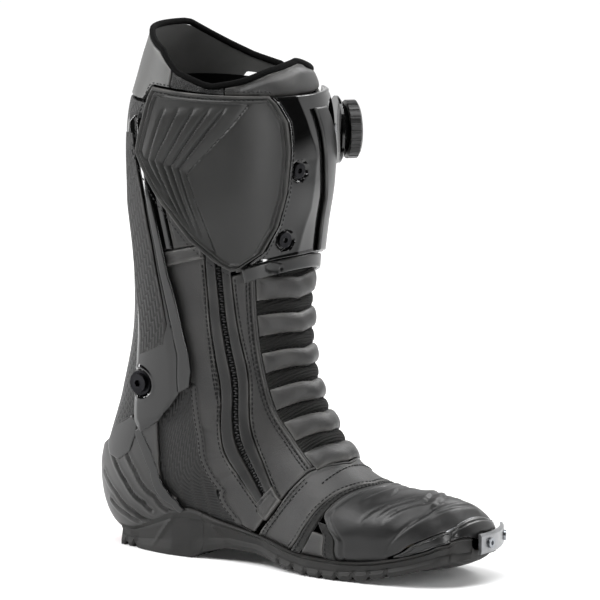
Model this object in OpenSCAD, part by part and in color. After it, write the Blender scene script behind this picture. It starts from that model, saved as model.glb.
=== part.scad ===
/* [Shell layers] */
// Thickness of the outer leather
leather_t = 2.2; // [1.8:0.1:2.3]
// Thickness of the textile lining
lining_t = 1.6; // [1:0.1:1.8]
// Gap left between two layers that lie on each other
layer_gap = 0.4; // [0.3:0.1:0.5]
// Thickness of the hard shin plate
shin_t = 2.6; // [2:0.1:2.6]
// Thickness of the calf flap
flap_t = 2.6; // [2:0.1:3]
// Thickness of the heel cup
cup_t = 2.2; // [1.8:0.1:2.4]
// Thickness of the brace arms
arm_t = 2.4; // [2:0.1:2.5]

/* [Ankle pivot] */
// How far the pivot lies behind the foot's reference line
pivot_x = -72; // [-74:1:-70]
// Height of the pivot above the floor
pivot_z = 114; // [112:1:116]
// Radius of the pivot screw's shank
pivot_r = 3.5; // [3:0.1:4]
// Radius of the pivot screw's head
pivot_head_r = 6; // [5.5:0.1:6.5]
// Outer radius of the pivot bush
bush_r = 8; // [7.5:0.1:8.5]

/* [Lacing dial] */
// Radius of the dial's knob
knob_r = 19; // [17:0.5:20]
// Height of the dial's knob
knob_h = 8; // [7:0.5:9]
// Number of grip notches round the knob
knob_notches = 24; // [12:1:30]
// Height of the conical base
base_h = 6; // [5:0.5:7]

/* [Zip] */
// Half width of the channel between the zip guards, in degrees round the leg
zip_half = 3.6; // [3.4:0.1:4]
// Length of the zip slider
slider_l = 14; // [12:1:15]
// Width of the zip slider
slider_w = 6; // [5:0.1:6.2]

/* [Fasteners] */
// Radius of the plate screws' heads
screw_r = 5; // [4:0.1:5.5]
// Across-flats radius of the hexagon sockets
socket_r = 2; // [1.5:0.1:2.4]

/* [Hidden] */

$fn = 48;
screw_fn = 32;
// Moves the boot so that the middle of its footprint is the origin.
centre_x = -16;
centre_y = 1.3;

// The boot's outer skin. Each row is one ring: the dorsal or front point (x, z), the plantar or rear point
// (x, z), the half widths to the medial and lateral side, the ring's middle in y, where along the ring it
// is widest, the roundness of its front and rear halves, and how far the front point leans in y.
// The rings go from the toe (row 0), under the arch and round the heel, and up the leg.
LAST = [
    [156, 30, 156, 24, 2, 2, -3, 0.50, 2.0, 2.2, 0],
    [150, 41, 150, 16, 25, 25, -3, 0.55, 2.0, 2.4, -2],
    [139, 49, 138, 12, 36, 36, -2, 0.60, 2.0, 3.2, -5],
    [115, 54, 112, 9, 45, 43, -2, 0.62, 2.0, 3.8, -8],
    [90, 55, 80, 9, 49, 46, -2, 0.64, 2.0, 4.2, -8],
    [70, 62, 42, 9, 46, 45, -1, 0.64, 2.0, 4.2, -9],
    [53, 75, 0, 14, 41, 42, 0, 0.62, 2.0, 3.4, -9],
    [40, 92, -55, 13, 39, 41, -1, 0.58, 2.0, 3.2, -5],
    [29, 113, -112, 10, 41, 42, -2, 0.52, 2.0, 2.9, -3],
    [21, 137, -130, 46, 44, 45, -3, 0.48, 2.1, 2.4, -1],
    [16, 163, -114, 99, 48, 48, -3, 0.50, 2.2, 2.2, 0],
    [15, 190, -102, 144, 52, 52, -3, 0.50, 2.2, 2.2, 0],
    [17, 218, -100, 192, 56, 56, -3, 0.50, 2.2, 2.2, 0],
    [21, 248, -102, 236, 60, 60, -3, 0.50, 2.2, 2.2, 0],
    [22, 284, -102, 288, 61, 61, -3, 0.50, 2.2, 2.2, 0],
    [10, 324, -85, 342, 54, 54, -3, 0.50, 2.2, 2.2, 0],
    [0, 362, -72, 396, 50, 50, -3, 0.50, 2.2, 2.2, 0]
];
last_row = len(LAST) - 1;

// One ring, read between the rows by a smooth curve through them. The nose rounds off like a quarter ellipse.
function row_at(i) = LAST[max(0, min(i, last_row))];
function nose(f) = sqrt(1 - (1 - f) * (1 - f));
function blend_rows(p, q, r, t, f) = 0.5 * (2 * q + (r - p) * f + (2 * p - 5 * q + 4 * r - t) * f * f
    + (3 * q - p - 3 * r + t) * f * f * f);
function nose_ring(f) = [for (k = [0:10]) let (g = k == 0 || k == 2 ? f : nose(f))
    LAST[0][k] + (LAST[1][k] - LAST[0][k]) * g];
function ring(s) = let (c = max(0, min(s, last_row)), i = min(floor(c), last_row - 1))
    c < 1 ? nose_ring(c) : blend_rows(row_at(i - 1), row_at(i), row_at(i + 1), row_at(i + 2), c - i);

// A point of the skin: s is the place along the rings, a the angle round one, 0 in front, 90 on the medial
// side, 180 behind or below and 270 on the lateral side.
function skin(s, a) = let (
    r = ring(s),
    c = cos(a),
    n = sin(a),
    round_e = c >= 0 ? r[8] : r[9],
    lengthwise = pow(abs(c), 2 / round_e),
    sideways = pow(abs(n), 2 / round_e),
    depth = c >= 0 ? r[7] - r[7] * lengthwise : r[7] + (1 - r[7]) * lengthwise,
    reach = n >= 0 ? -r[4] : r[5],
    lean = r[10] * pow(max(0, c), 1.5)
) [
    r[0] + (r[2] - r[0]) * depth + centre_x,
    r[6] + reach * sideways + lean + centre_y,
    r[1] + (r[3] - r[1]) * depth
];
step = 0.01;
function outward(s, a) = let (
    low = max(0, s - step),
    high = min(last_row, s + step),
    n = cross(skin(high, a) - skin(low, a), skin(s, a + 1) - skin(s, a - 1))
) n / norm(n);
// The same point lifted off the skin by h, outwards.
function pt(s, a, h) = skin(s, a) + h * outward(s, a);

// A panel's outline is a list of rows [t, low, high]: along = true reads t as s and low and high as angles,
// along = false reads t as the angle and low and high as s.
function low_at(rows, t) = lookup(t, [for (e = rows) [e[0], e[1]]]);
function high_at(rows, t) = lookup(t, [for (e = rows) [e[0], e[2]]]);
function crown(u) = pow(max(0, sin(180 * u)), 0.6);
function panel_points(rows, along, n_t, n_w, h, bulge, slant) = [
    for (i = [0:n_t]) for (j = [0:n_w]) let (
        u = i / n_t,
        v = j / n_w,
        t = rows[0][0] + (rows[len(rows) - 1][0] - rows[0][0]) * u,
        w = low_at(rows, t) + (high_at(rows, t) - low_at(rows, t)) * v,
        s = along ? t : w,
        a = along ? w : t,
        base = is_list(h) ? lookup(t, h) : h
    ) pt(s + slant * abs(a), a, base + bulge * crown(u) * crown(v))
];
// Triangles of a closed sheet with two sides of (n + 1) x (m + 1) points each, the inner side first.
function sheet_faces(n, m) = let (w = m + 1, k = (n + 1) * w) concat(
    [for (i = [0:n - 1]) for (j = [0:m - 1]) [k + i * w + j, k + i * w + j + 1, k + (i + 1) * w + j + 1]],
    [for (i = [0:n - 1]) for (j = [0:m - 1]) [k + i * w + j, k + (i + 1) * w + j + 1, k + (i + 1) * w + j]],
    [for (i = [0:n - 1]) for (j = [0:m - 1]) [i * w + j, (i + 1) * w + j + 1, i * w + j + 1]],
    [for (i = [0:n - 1]) for (j = [0:m - 1]) [i * w + j, (i + 1) * w + j, (i + 1) * w + j + 1]],
    [for (i = [0:n - 1]) each wall(i * w, (i + 1) * w, k)],
    [for (i = [0:n - 1]) each wall((i + 1) * w + m, i * w + m, k)],
    [for (j = [0:m - 1]) each wall(j + 1, j, k)],
    [for (j = [0:m - 1]) each wall(n * w + j, n * w + j + 1, k)]
);
function wall(p, q, k) = [[k + p, k + q, q], [k + p, q, p]];
function flip(faces) = [for (f = faces) [f[0], f[2], f[1]]];

// A panel that follows the skin between the heights h0 and h1, numbers or lists of [t, height].
module panel(rows, h0, h1, n_t = 8, n_w = 6, along = true, bulge = 0, slant = 0) {
    points = concat(
        panel_points(rows, along, n_t, n_w, h0, 0, slant),
        panel_points(rows, along, n_t, n_w, h1, bulge, slant)
    );
    faces = sheet_faces(n_t, n_w);
    polyhedron(points, along ? faces : flip(faces), convexity = 6);
}

// The same outline on the other side of the boot.
function other_side(rows) = [for (e = rows) [e[0], -e[2], -e[1]]];

// Puts its children on the skin, with their Z axis pointing outwards.
module on_skin(s, a, h) {
    n = outward(s, a);
    translate(pt(s, a, h)) rotate([0, acos(n[2]), atan2(n[1], n[0])]) children();
}

// Layers, measured outwards from the skin.
under_leather = -leather_t - layer_gap;
lining_low = under_leather - lining_t;
armour_low = 3.2;
flap_low = 6.2;
shin_low = 3.2;
over_leather = layer_gap;
leather_end = 150;

// The zip's middle line, and the seam between the side leather and the ankle panel.
ZIP = [[5.9, 88], [6.58, 73.5], [7.6, 62.5], [8.93, 53], [10.28, 58], [11.6, 61.5], [14.3, 60]];
SEAM = [[5.95, 104], [6.5, 92.5], [7.45, 83], [8.28, 78.5], [9.4, 78.5], [10.5, 108], [14.42, 108]];
zip_wide = 8;
function zip_a(s) = lookup(s, ZIP);
function seam_a(s) = lookup(s, SEAM);
function along_zip(s0, s1, from, to) = [for (i = [0:24]) let (s = s0 + (s1 - s0) * i / 24)
    [s, zip_a(s) + from, zip_a(s) + to]];

// ---- sole -------------------------------------------------------------------------------------------
// Rows of the tread: x, medial half width, lateral half width, height of the tread, height of the edge.
TREAD = [
    [-128, 6, 6, 12, 22], [-122, 18, 18, 3, 13], [-112, 27, 27, 0, 10], [-98, 33, 33, 0, 10],
    [-84, 35, 36, 0, 13], [-66, 36, 38, 0, 22], [-52, 36, 39, 0, 31], [-42, 36, 39, 0, 36],
    [-32, 35, 39, 5, 34], [-15, 34, 41, 9, 27], [8, 38, 45, 8, 21], [32, 46, 49, 3, 16],
    [54, 50, 50, 0, 13], [78, 51, 47, 0, 13], [102, 46, 41, 3, 15], [124, 37, 32, 8, 20],
    [144, 24, 18, 14, 27], [158, 8, 4, 18, 32]
];
function tread(x, k) = lookup(x - centre_x, [for (t = TREAD) [t[0], t[k]]]);
// Angle on the skin at which the sole's wall starts.
SOLE_EDGE = [[0, 58], [0.6, 74], [1, 84], [2, 94], [3, 107], [4, 122], [5, 122], [6, 121], [6.5, 114],
    [7, 107], [7.25, 105], [7.5, 109], [7.8, 142], [8.1, 150]];
sole_gap = 0.4;
sole_cols = 14;
function sole_point(s, a, side, lift) = let (
    p = pt(s, a, sole_gap),
    edge = abs(a - 180) / (180 - lookup(s, SOLE_EDGE)),
    half = tread(p[0], a < 180 ? 1 : 2) + (edge > 1.001 ? 1.4 : 0),
    y = centre_y + (a < 180 ? -1 : 1) * max(half * edge, abs(p[1] - centre_y) + 1.2 * edge)
) side == 0 ? pt(s, a, lift) : [p[0], y, min(p[2] - 2.5, edge > 0.99 ? tread(p[0], 4) - 2 : tread(p[0], 3))];
// The grown form is the same block a little wider, to cut its room out of the parts on it.
module sole_run(s0, s1, rows, lift = sole_gap, grow = 0) {
    function line(side) = [for (i = [0:rows]) for (j = [0:sole_cols]) let (
        s = s0 + (s1 - s0) * i / rows,
        e = lookup(s, SOLE_EDGE) - grow,
        a = e + (360 - 2 * e) * j / sole_cols
    ) sole_point(s, a, side, lift)];
    polyhedron(concat(line(0), line(1)), sheet_faces(rows, sole_cols), convexity = 6);
}
heel_breast = 6.98;
module outsole() { color("#26272a") sole_run(0.05, heel_breast - 0.04, 20); }
module heel_block() { color("#2b2c2f") sole_run(heel_breast, 8.05, 8); }
module shank() { color("#8c8f94") panel([[4.9, 172, 188], [7.42, 170, 190]], -2.1, -0.3, 10, 3); }
module insole_board() {
    color("#9a8f7c") panel([[0.9, 154, 206], [4, 141, 219], [8.1, 148, 212]], -4.2, -2.7, 16, 6);
}
module heel_lift() {
    color("#3a3a3a") panel([[6.5, 154, 206], [7.2, 142, 218], [8.2, 142, 218]],
        [[6.5, -7.4], [7, -12.9], [8.2, -12.9]], -5.9, 6, 6);
}
module footbed() {
    color("#3c3f44") panel([[1, 152, 208], [3, 138, 222], [6.2, 140, 220], [8.2, 142, 218]],
        [[1, -8.6], [6.2, -9], [7, -17.5], [8.2, -17.5]], [[1, -4.7], [6.2, -4.7], [7, -13.4], [8.2, -13.4]], 18, 8);
}

// ---- foot -------------------------------------------------------------------------------------------
TOE_REAR = [[-150, 4.1], [-105, 4.15], [-88, 4.2], [-64, 4.5], [-35, 4.4], [0, 4.25], [35, 4.6],
    [64, 4.76], [88, 4.17], [105, 4.12], [150, 4.05]];
BAND_REAR = [[-150, 4.5], [-105, 4.6], [-88, 4.65], [-64, 4.8], [-35, 4.62], [0, 4.42], [35, 4.8],
    [64, 4.98], [88, 5.05], [105, 5.1], [150, 5.25]];
SLIT = [[-102, 2.9], [-82, 2.2], [-58, 1.25], [-30, 0.9], [0, 0.82], [30, 0.9], [58, 1.25], [82, 2.2], [102, 2.9]];
band_gap = 0.02;
function toe_rear(a) = lookup(a, TOE_REAR);
function band_rear(a) = lookup(a, BAND_REAR);
function slit(a) = lookup(a, SLIT);
module toe_puff() {
    color("#c8bfa8") panel([for (a = [-110:20:110]) [a, slit(a) + 0.1, 3.2]], -4.4, -3, 14, 5, false);
}
module toe_cover() {
    color("#1f2022") panel([for (a = [-leather_end:10:leather_end]) [a, slit(a) + 0.03, toe_rear(a)]],
        -leather_t, [[-105, 0], [-80, 0.8], [80, 0.8], [105, 0]], 30, 10, false);
}
// Two solids: the arc over the foot, narrower below the fork, and the front leg of the fork.
fork_a = 60;
leg_wide = 0.28;
module suede_band() {
    color("#1b1b1c") {
        panel([for (a = [-leather_end:10:leather_end])
            [a, a > fork_a ? band_rear(a) - 0.2 : toe_rear(a) + band_gap, band_rear(a)]],
            -leather_t, 0.2, 30, 2, false);
        panel([for (a = [fork_a + 20:10:leather_end]) [a, toe_rear(a) + band_gap, toe_rear(a) + leg_wide]],
            -leather_t, 0.2, 7, 2, false);
    }
}
module vamp_gusset() {
    color("#37383a") panel([for (a = [90:10:leather_end])
        [a, toe_rear(a) + leg_wide + band_gap, band_rear(a) - 0.2 - band_gap]], -leather_t, 0, 6, 2, false);
}
module vamp() {
    color("#333436") panel([[-leather_end, 4.53, 5.93], [-105, 4.63, 5.93], [-88, 4.68, 5.93], [-64, 4.83, 5.93],
        [-41, 4.7, 5.93], [0, 4.45, 5.5], [41, 4.86, 5.93], [64, 5.01, 5.93], [88, 5.08, 5.88],
        [105, 5.13, 5.9], [leather_end, 5.28, 5.93]], -leather_t, 0, 20, 5, false);
}
module heel_counter() {
    color("#4a4640") panel([[7.5, 150.5, 209.5], [8.28, 130.5, 229.5], [9.05, 113, 247], [9.38, 113, 247]],
        -leather_t, 0, 8, 16);
}
module heel_cup() {
    color("#3b3d40") difference() {
        panel([[7.3, 108, 252], [7.6, 99.5, 260.5], [8.53, 96, 264], [9.3, 95.5, 264.5]],
            over_leather, over_leather + cup_t, 10, 16);
        sole_run(heel_breast, 8.05, 8, -0.4, 8);
        translate([-72 + centre_x, 0, -6]) cube([118, 120, 46], center = true);
        insert_shape(0.3);
    }
}
module insert_shape(grow) {
    translate([-124 + centre_x, -3 + centre_y, 16]) cube([26, 26 + grow * 2, 8 + grow * 2], center = true);
}
module heel_insert() {
    color("#c81e22") intersection() {
        panel([[8.02, 150, 210], [8.7, 150, 210]], over_leather, over_leather + cup_t, 4, 6);
        insert_shape(0);
    }
}
ANKLE = [[5.97, 104.5, 150], [6.5, 93, 150], [7.45, 83.5, 150], [8.28, 79, 130], [9.05, 79, 112.5], [9.38, 79, 112.5]];
module ankle_panel_medial() { color("#2e2f32") panel(ANKLE, -leather_t, 0, 10, 4); }
module ankle_panel_lateral() { color("#2e2f32") panel(other_side(ANKLE), -leather_t, 0, 10, 4); }
module strut(side) {
    difference() {
        panel(side > 0 ? STRUT : other_side(STRUT), over_leather, over_leather + cup_t - 0.7, 3, 4);
        pivot_line(pivot_r + 0.1);
    }
}
STRUT = [[9.33, 94, 112], [9.6, 96, 112], [10.05, 99, 110]];
module pivot_line(r) {
    translate([pivot_x + centre_x, 0, pivot_z]) rotate([90, 0, 0]) cylinder(r = r, h = 160, center = true);
}
module pivot_strut_medial() { color("#1d1e20") strut(1); }
module pivot_strut_lateral() { color("#1d1e20") strut(-1); }
pivot_out = 52.2;
pivot_in = 44;
module pivot_screw(side) {
    translate([pivot_x + centre_x, -3 + centre_y, pivot_z]) rotate([side > 0 ? 90 : -90, 0, 0]) difference() {
        union() {
            translate([0, 0, pivot_in]) cylinder(r = pivot_r, h = pivot_out - pivot_in);
            translate([0, 0, pivot_out]) cylinder(r = pivot_head_r, h = 2.4);
        }
        translate([0, 0, pivot_out]) cylinder(r = socket_r + 0.4, h = 5, $fn = 6);
    }
}
module pivot_screw_medial() { color("#8f9196") pivot_screw(1); }
module pivot_screw_lateral() { color("#8f9196") pivot_screw(-1); }
module toe_slider_base() {
    color("#151617") panel([for (a = [-100:10:100]) [a, low_edge(a), max(low_edge(a) + 0.05, slit(a) - 0.04)]],
        -leather_t, 1.6, 20, 4, false);
}
function low_edge(a) = lookup(abs(a), [[0, 0], [56, 0], [72, 0.62], [82, 1.05], [89, 1.6], [92, 2.05], [100, 2.6]]);
// The metal slider is an arc plate round the toe, in plan about this centre.
slider_centre = [101 + centre_x, -3 + centre_y];
slider_r = 59.2;
slider_t = 2.6;
slider_low = 20;
slider_h = 13;
slider_from = -7;
slider_to = 38;
slider_bolts = [2, 28];
module round_toe(angle) {
    translate([slider_centre[0], slider_centre[1], slider_low + slider_h / 2]) rotate([0, 90, angle]) children();
}
module toe_slider_plate() {
    color("#b9bbbe") difference() {
        translate([slider_centre[0], slider_centre[1], slider_low]) rotate([0, 0, slider_from])
            rotate_extrude(angle = slider_to - slider_from, $fn = 96) translate([slider_r, 0])
                polygon([[0, 0], [slider_t - 1, 0], [slider_t, 1.5], [slider_t, slider_h - 1.5],
                    [slider_t - 1, slider_h], [0, slider_h]]);
        for (angle = slider_bolts) round_toe(angle) cylinder(r = 2.1, h = 90, $fn = screw_fn);
    }
}
module toe_slider_screws() {
    color("#77797d") for (angle = slider_bolts) round_toe(angle) difference() {
        union() {
            translate([0, 0, slider_r - 0.9]) cylinder(r = 2, h = slider_t + 1, $fn = screw_fn);
            translate([0, 0, slider_r + slider_t + 0.1]) cylinder(r = 3.4, h = 1.4, $fn = screw_fn);
        }
        translate([0, 0, slider_r + slider_t + 0.4]) cylinder(r = socket_r * 0.8, h = 3, $fn = 6);
    }
}
module foot_lining() {
    color("#141414") panel([[1.1, -138, 138], [8.1, -138, 138], [8.85, -179, 179]], lining_low - 2.2,
        under_leather - 2.2, 18, 14);
}

// ---- ankle and leg ----------------------------------------------------------------------------------
module shaft_lining() {
    color("#141414") panel([[8.95, -179.5, 179.5], [14.4, -179.5, 179.5]], lining_low - 0.2, under_leather - 0.2, 26, 32);
}
module stretch_panel() { color("#222325") panel([[5.97, -36, 36], [11.18, -36, 36]], -leather_t, 0, 20, 6); }
rib_slant = 0.006;
module flex_rib(k) {
    rows = [[10.27, 10.8], [9.45, 9.93], [8.6, 9.06], [7.68, 8.2], [6.7, 7.3], [5.6, 6.25]];
    color("#3a3c3f") panel([[rows[k][0], -35, 35], [rows[k][1], -35, 35]], over_leather, over_leather + 0.8,
        3, 10, true, 3.4, rib_slant);
}
module flex_rib_1() { flex_rib(0); }
module flex_rib_2() { flex_rib(1); }
module flex_rib_3() { flex_rib(2); }
module flex_rib_4() { flex_rib(3); }
module flex_rib_5() { flex_rib(4); }
module flex_rib_6() { flex_rib(5); }
module front_leather() {
    rows = [for (i = [0:20]) let (s = 5.97 + (11.18 - 5.97) * i / 20) [s, 36.5, zip_a(s) - zip_wide - 1]];
    color("#37393c") panel(rows, -leather_t, 0, 20, 2);
}
module side_leather_medial() {
    rows = [for (i = [0:28]) let (s = 6.0 + (14.42 - 6.0) * i / 28)
        [s, zip_a(s) + zip_wide + 1.5, max(zip_a(s) + zip_wide + 2.5, seam_a(s) - 1.6)]];
    color("#3b3d40") panel(rows, -leather_t, 0, 28, 4);
}
module side_leather_lateral() {
    rows = [for (s = [5.97, 6.5, 7.1, 7.7, 8.3, 8.9, 9.4, 9.95, 10.5, 11.1, 11.2, 12, 13, 14, 14.42])
        [s, -seam_a(s) + 1.3, s < 11.15 ? -36.5 : -51]];
    color("#3b3d40") panel(rows, -leather_t, 0, 24, 8);
}
module upper_front_panel() {
    color("#2f3134") panel([[11.22, -50, 49], [14.42, -50, 49]], -leather_t, 0, 8, 8);
}
module rear_panel() {
    color("#25272a") panel([[9.42, 114, 246], [10.5, 108.5, 251.5], [14.2, 108.5, 251.5]], -leather_t, 0, 22, 14);
}
zip_low = 6.1;
zip_top = 14.3;
module zip_tape() {
    color("#1b1c1e") panel(along_zip(zip_low, zip_top, -zip_wide, zip_wide), -leather_t, -1.7, 24, 4);
}
module zip_teeth() { color("#141516") panel(along_zip(zip_low, zip_top, -1.6, 1.6), -1.3, 0.2, 24, 2); }
module zip_guard_front() {
    color("#242628") panel(along_zip(zip_low, zip_top, -zip_wide, -zip_half), -1.3, 1.5, 24, 2);
}
module zip_guard_rear() {
    color("#242628") panel(along_zip(zip_low, zip_top, zip_half, zip_wide), -1.3, 1.5, 24, 2);
}
// The zip's straight stretch runs between these two places, and the slider moves along the line between them.
slide_top = pt(13.9, 60.1, 1.9);
slide_end = pt(11.6, 61.5, 1.9);
slide_dir = (slide_end - slide_top) / norm(slide_end - slide_top);
module zip_slider() {
    n = outward(13.9, 60.1);
    lean = -(slide_dir * [n[0], n[1], 0]) / norm([n[0], n[1]]);
    color("#6c6e72") translate(slide_top) rotate([0, 0, atan2(n[1], n[0]) + 90]) rotate([asin(lean), 0, 0]) {
        translate([0, -1, 0]) cube([slider_w, 2, slider_l], center = true);
        translate([0, -1.6, -slider_l * 0.8]) cube([slider_w * 0.7, 1, slider_l * 1.2], center = true);
    }
}

// ---- top edge ---------------------------------------------------------------------------------------
RIM = [[-86, 14.58], [-67, 14.57], [-44, 14.68], [-8, 14.93], [21, 14.8], [44, 14.62], [67, 14.5], [90, 14.62],
    [107, 14.86], [141, 15], [195, 15], [216, 14.86], [235, 14.74], [253, 14.64], [274, 14.58]];
function rim(a) = lookup(a, RIM);
module front_collar() {
    color("#2f3134") panel([for (a = [-84:14:56]) [a, 14.45, max(14.5, rim(a))]], -6, -0.4, 10, 3, false, 1.6);
}
module rear_collar() {
    color("#4b4d51") panel([for (a = [94:14:276]) [a, a > 112 && a < 248 ? 14.24 : 14.45, rim(a)]], -2.2, 0, 13, 3, false);
}
module hook_patch() { color("#1a1a1b") panel([for (a = [57:9:93]) [a, 14.45, rim(a)]], -3.6, -1, 4, 2, false); }
module collar_binding() {
    color("#101011") panel([for (a = [-85:12:275]) [a, rim(a) + 0.03, rim(a) + 0.13]], -5, 0.4, 30, 1, false);
}
// ---- hard parts of the leg --------------------------------------------------------------------------
FLAP = [[11.34, 49.5, 52.5], [11.6, 33, 62], [12.12, 24, 77], [12.85, 19.5, 92], [13.58, 18.5, 108],
    [14.03, 20, 103], [14.3, 25.5, 101], [14.42, 30, 99]];
SHIN = [[11, -60, 44], [11.3, -61, 46], [11.6, -62, 30.5], [12.12, -62, 21.5], [12.85, -62, 17],
    [13.58, -62, 16], [14.03, -60, 17.5], [14.3, -56, 23], [14.42, -50, 27.5]];
SHIN_SCREWS = [[13.2, 8.5], [11.75, 15.5], [13.2, -56], [11.75, -50]];
module shin_plate() {
    color("#0d0d0f") difference() {
        panel(SHIN, shin_low, shin_low + shin_t, 14, 14);
        for (p = SHIN_SCREWS) on_skin(p[0], p[1], shin_low) cylinder(r = screw_r + 0.3, h = 14, center = true);
    }
}
module shin_screws() {
    color("#55575b") for (p = SHIN_SCREWS) on_skin(p[0], p[1], shin_low - 1.8) difference() {
        cylinder(r = screw_r, h = 3.6, $fn = screw_fn);
        translate([0, 0, 1.4]) cylinder(r = socket_r, h = 6, $fn = 6);
    }
}
module shin_strip() {
    color("#17181a") panel([[11.4, -30, -14], [12.6, -34, -16], [13.4, -30, -10], [14.2, -14, -2]],
        shin_low + shin_t + layer_gap, shin_low + shin_t + 2.4, 10, 3);
}
module calf_flap() {
    color("#2c2e31") panel(FLAP, flap_low, flap_low + flap_t, 16, 10);
}
FRAME_BAR = [[11.7, 70, 97], [11.95, 71, 98.5]];
FRAME_POST = [[11.98, 90, 98.5], [12.85, 94, 101.5], [13.9, 98, 107.5]];
module calf_frame(side) {
    panel(side > 0 ? FRAME_BAR : other_side(FRAME_BAR), over_leather, 2.8, 2, 6);
    panel(side > 0 ? FRAME_POST : other_side(FRAME_POST), over_leather, 2.8, 5, 2);
}
module calf_frame_medial() { color("#101113") calf_frame(1); }
module calf_frame_lateral() { color("#101113") calf_frame(-1); }
ARM = [[9.05, 94, 104], [9.3, 85, 109], [10, 85.5, 114], [11.62, 97, 122], [12.85, 104, 126], [14.05, 113, 122]];
FRAME = [[9.33, 78, 84], [9.6, 77, 84.6], [10.03, 79, 84.8], [11.62, 91.5, 96.3], [12.85, 99, 103.4], [14, 108.5, 112.3]];
module brace_arm(side) {
    difference() {
        panel(side > 0 ? ARM : other_side(ARM), armour_low, armour_low + arm_t, 12, 4);
        pivot_line(bush_r + 0.2);
    }
}
module brace_arm_medial() { color("#202225") brace_arm(1); }
module brace_arm_lateral() { color("#202225") brace_arm(-1); }
module brace_frame_medial() { color("#0e0f10") panel(FRAME, armour_low, armour_low + arm_t + 0.2, 14, 1); }
module brace_frame_lateral() { color("#0e0f10") panel(other_side(FRAME), armour_low, armour_low + arm_t + 0.2, 14, 1); }
bush_out = 51.8;
bush_in = 48.8;
module bush() {
    difference() {
        cylinder(r = bush_r, h = bush_out - bush_in);
        cylinder(r = pivot_r + 0.06, h = 30, center = true);
    }
}
module pivot_bushes() {
    color("#a5a8ad") translate([pivot_x + centre_x, -3 + centre_y, pivot_z]) {
        rotate([90, 0, 0]) translate([0, 0, bush_in]) bush();
        rotate([-90, 0, 0]) translate([0, 0, bush_in]) bush();
    }
}
// ---- lacing dial ------------------------------------------------------------------------------------
dial_s = 13.75;
dial_a = -46;
dial_low = shin_low + shin_t + layer_gap + 1.5;
spindle_r = 4;
dial_gap = 0.6;
module dial_base() {
    color("#131415") on_skin(dial_s, dial_a, dial_low) rotate_extrude() polygon([[spindle_r + 0.08, 0],
        [knob_r + 3, 0], [knob_r + 3, 1.5], [knob_r - 3, base_h], [spindle_r + 0.08, base_h]]);
}
module dial_spindle() {
    color("#9b9da1") on_skin(dial_s, dial_a, dial_low) {
        translate([0, 0, 0.3]) cylinder(r = spindle_r, h = base_h + dial_gap + knob_h);
        translate([0, 0, base_h + dial_gap + knob_h + 0.2]) cylinder(r = spindle_r + 2.5, h = 1.2);
    }
}
module dial_knob() {
    color("#1c1d1f") on_skin(dial_s, dial_a, dial_low + base_h + dial_gap) difference() {
        union() {
            cylinder(r = knob_r, h = knob_h - 1.5);
            translate([0, 0, knob_h - 1.5]) cylinder(r1 = knob_r, r2 = knob_r - 2.5, h = 1.5);
        }
        translate([0, 0, -1]) cylinder(r = spindle_r + 0.06, h = knob_h + 5);
        for (k = [0:knob_notches - 1]) rotate([0, 0, 360 * k / knob_notches]) translate([knob_r + 0.6, 0, -1])
            cylinder(r = 1.3, h = knob_h + 3, $fn = 16);
    }
}

outsole();
heel_block();
shank();
insole_board();
heel_lift();
footbed();
toe_puff();
heel_counter();
heel_cup();
heel_insert();
ankle_panel_medial();
ankle_panel_lateral();
pivot_strut_medial();
pivot_strut_lateral();
pivot_screw_medial();
pivot_screw_lateral();
vamp();
suede_band();
vamp_gusset();
toe_cover();
toe_slider_base();
toe_slider_plate();
toe_slider_screws();
foot_lining();
shaft_lining();
stretch_panel();
flex_rib_1();
flex_rib_2();
flex_rib_3();
flex_rib_4();
flex_rib_5();
flex_rib_6();
front_leather();
side_leather_medial();
side_leather_lateral();
upper_front_panel();
rear_panel();
zip_tape();
zip_teeth();
zip_guard_front();
zip_guard_rear();
zip_slider();
front_collar();
rear_collar();
collar_binding();
hook_patch();
shin_plate();
shin_strip();
shin_screws();
calf_flap();
calf_frame_medial();
calf_frame_lateral();
brace_arm_medial();
brace_arm_lateral();
brace_frame_medial();
brace_frame_lateral();
pivot_bushes();
dial_base();
dial_spindle();
dial_knob();
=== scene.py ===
import math
import bpy
import numpy as np
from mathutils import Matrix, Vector


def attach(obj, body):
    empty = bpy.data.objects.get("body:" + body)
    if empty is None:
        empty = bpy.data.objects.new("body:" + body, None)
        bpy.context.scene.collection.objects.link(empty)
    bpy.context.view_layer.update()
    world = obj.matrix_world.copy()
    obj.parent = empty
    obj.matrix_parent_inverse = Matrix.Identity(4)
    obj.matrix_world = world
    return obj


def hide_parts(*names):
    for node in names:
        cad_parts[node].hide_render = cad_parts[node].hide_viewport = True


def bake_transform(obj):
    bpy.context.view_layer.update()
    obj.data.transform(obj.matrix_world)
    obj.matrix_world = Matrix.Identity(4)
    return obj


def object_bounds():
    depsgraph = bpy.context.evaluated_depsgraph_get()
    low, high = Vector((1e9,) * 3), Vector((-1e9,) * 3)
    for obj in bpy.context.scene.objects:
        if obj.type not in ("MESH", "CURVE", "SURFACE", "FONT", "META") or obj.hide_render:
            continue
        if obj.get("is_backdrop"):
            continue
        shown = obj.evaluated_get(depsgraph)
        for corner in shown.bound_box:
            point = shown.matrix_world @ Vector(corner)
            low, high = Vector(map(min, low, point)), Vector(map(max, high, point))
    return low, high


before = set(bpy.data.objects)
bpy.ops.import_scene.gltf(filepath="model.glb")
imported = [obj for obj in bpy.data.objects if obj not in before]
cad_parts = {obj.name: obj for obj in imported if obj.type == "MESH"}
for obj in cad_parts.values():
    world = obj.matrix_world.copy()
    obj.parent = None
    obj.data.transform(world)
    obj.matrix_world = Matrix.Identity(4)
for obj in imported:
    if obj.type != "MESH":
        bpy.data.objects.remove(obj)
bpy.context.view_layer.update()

mm = 0.001
scene = bpy.context.scene

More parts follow.
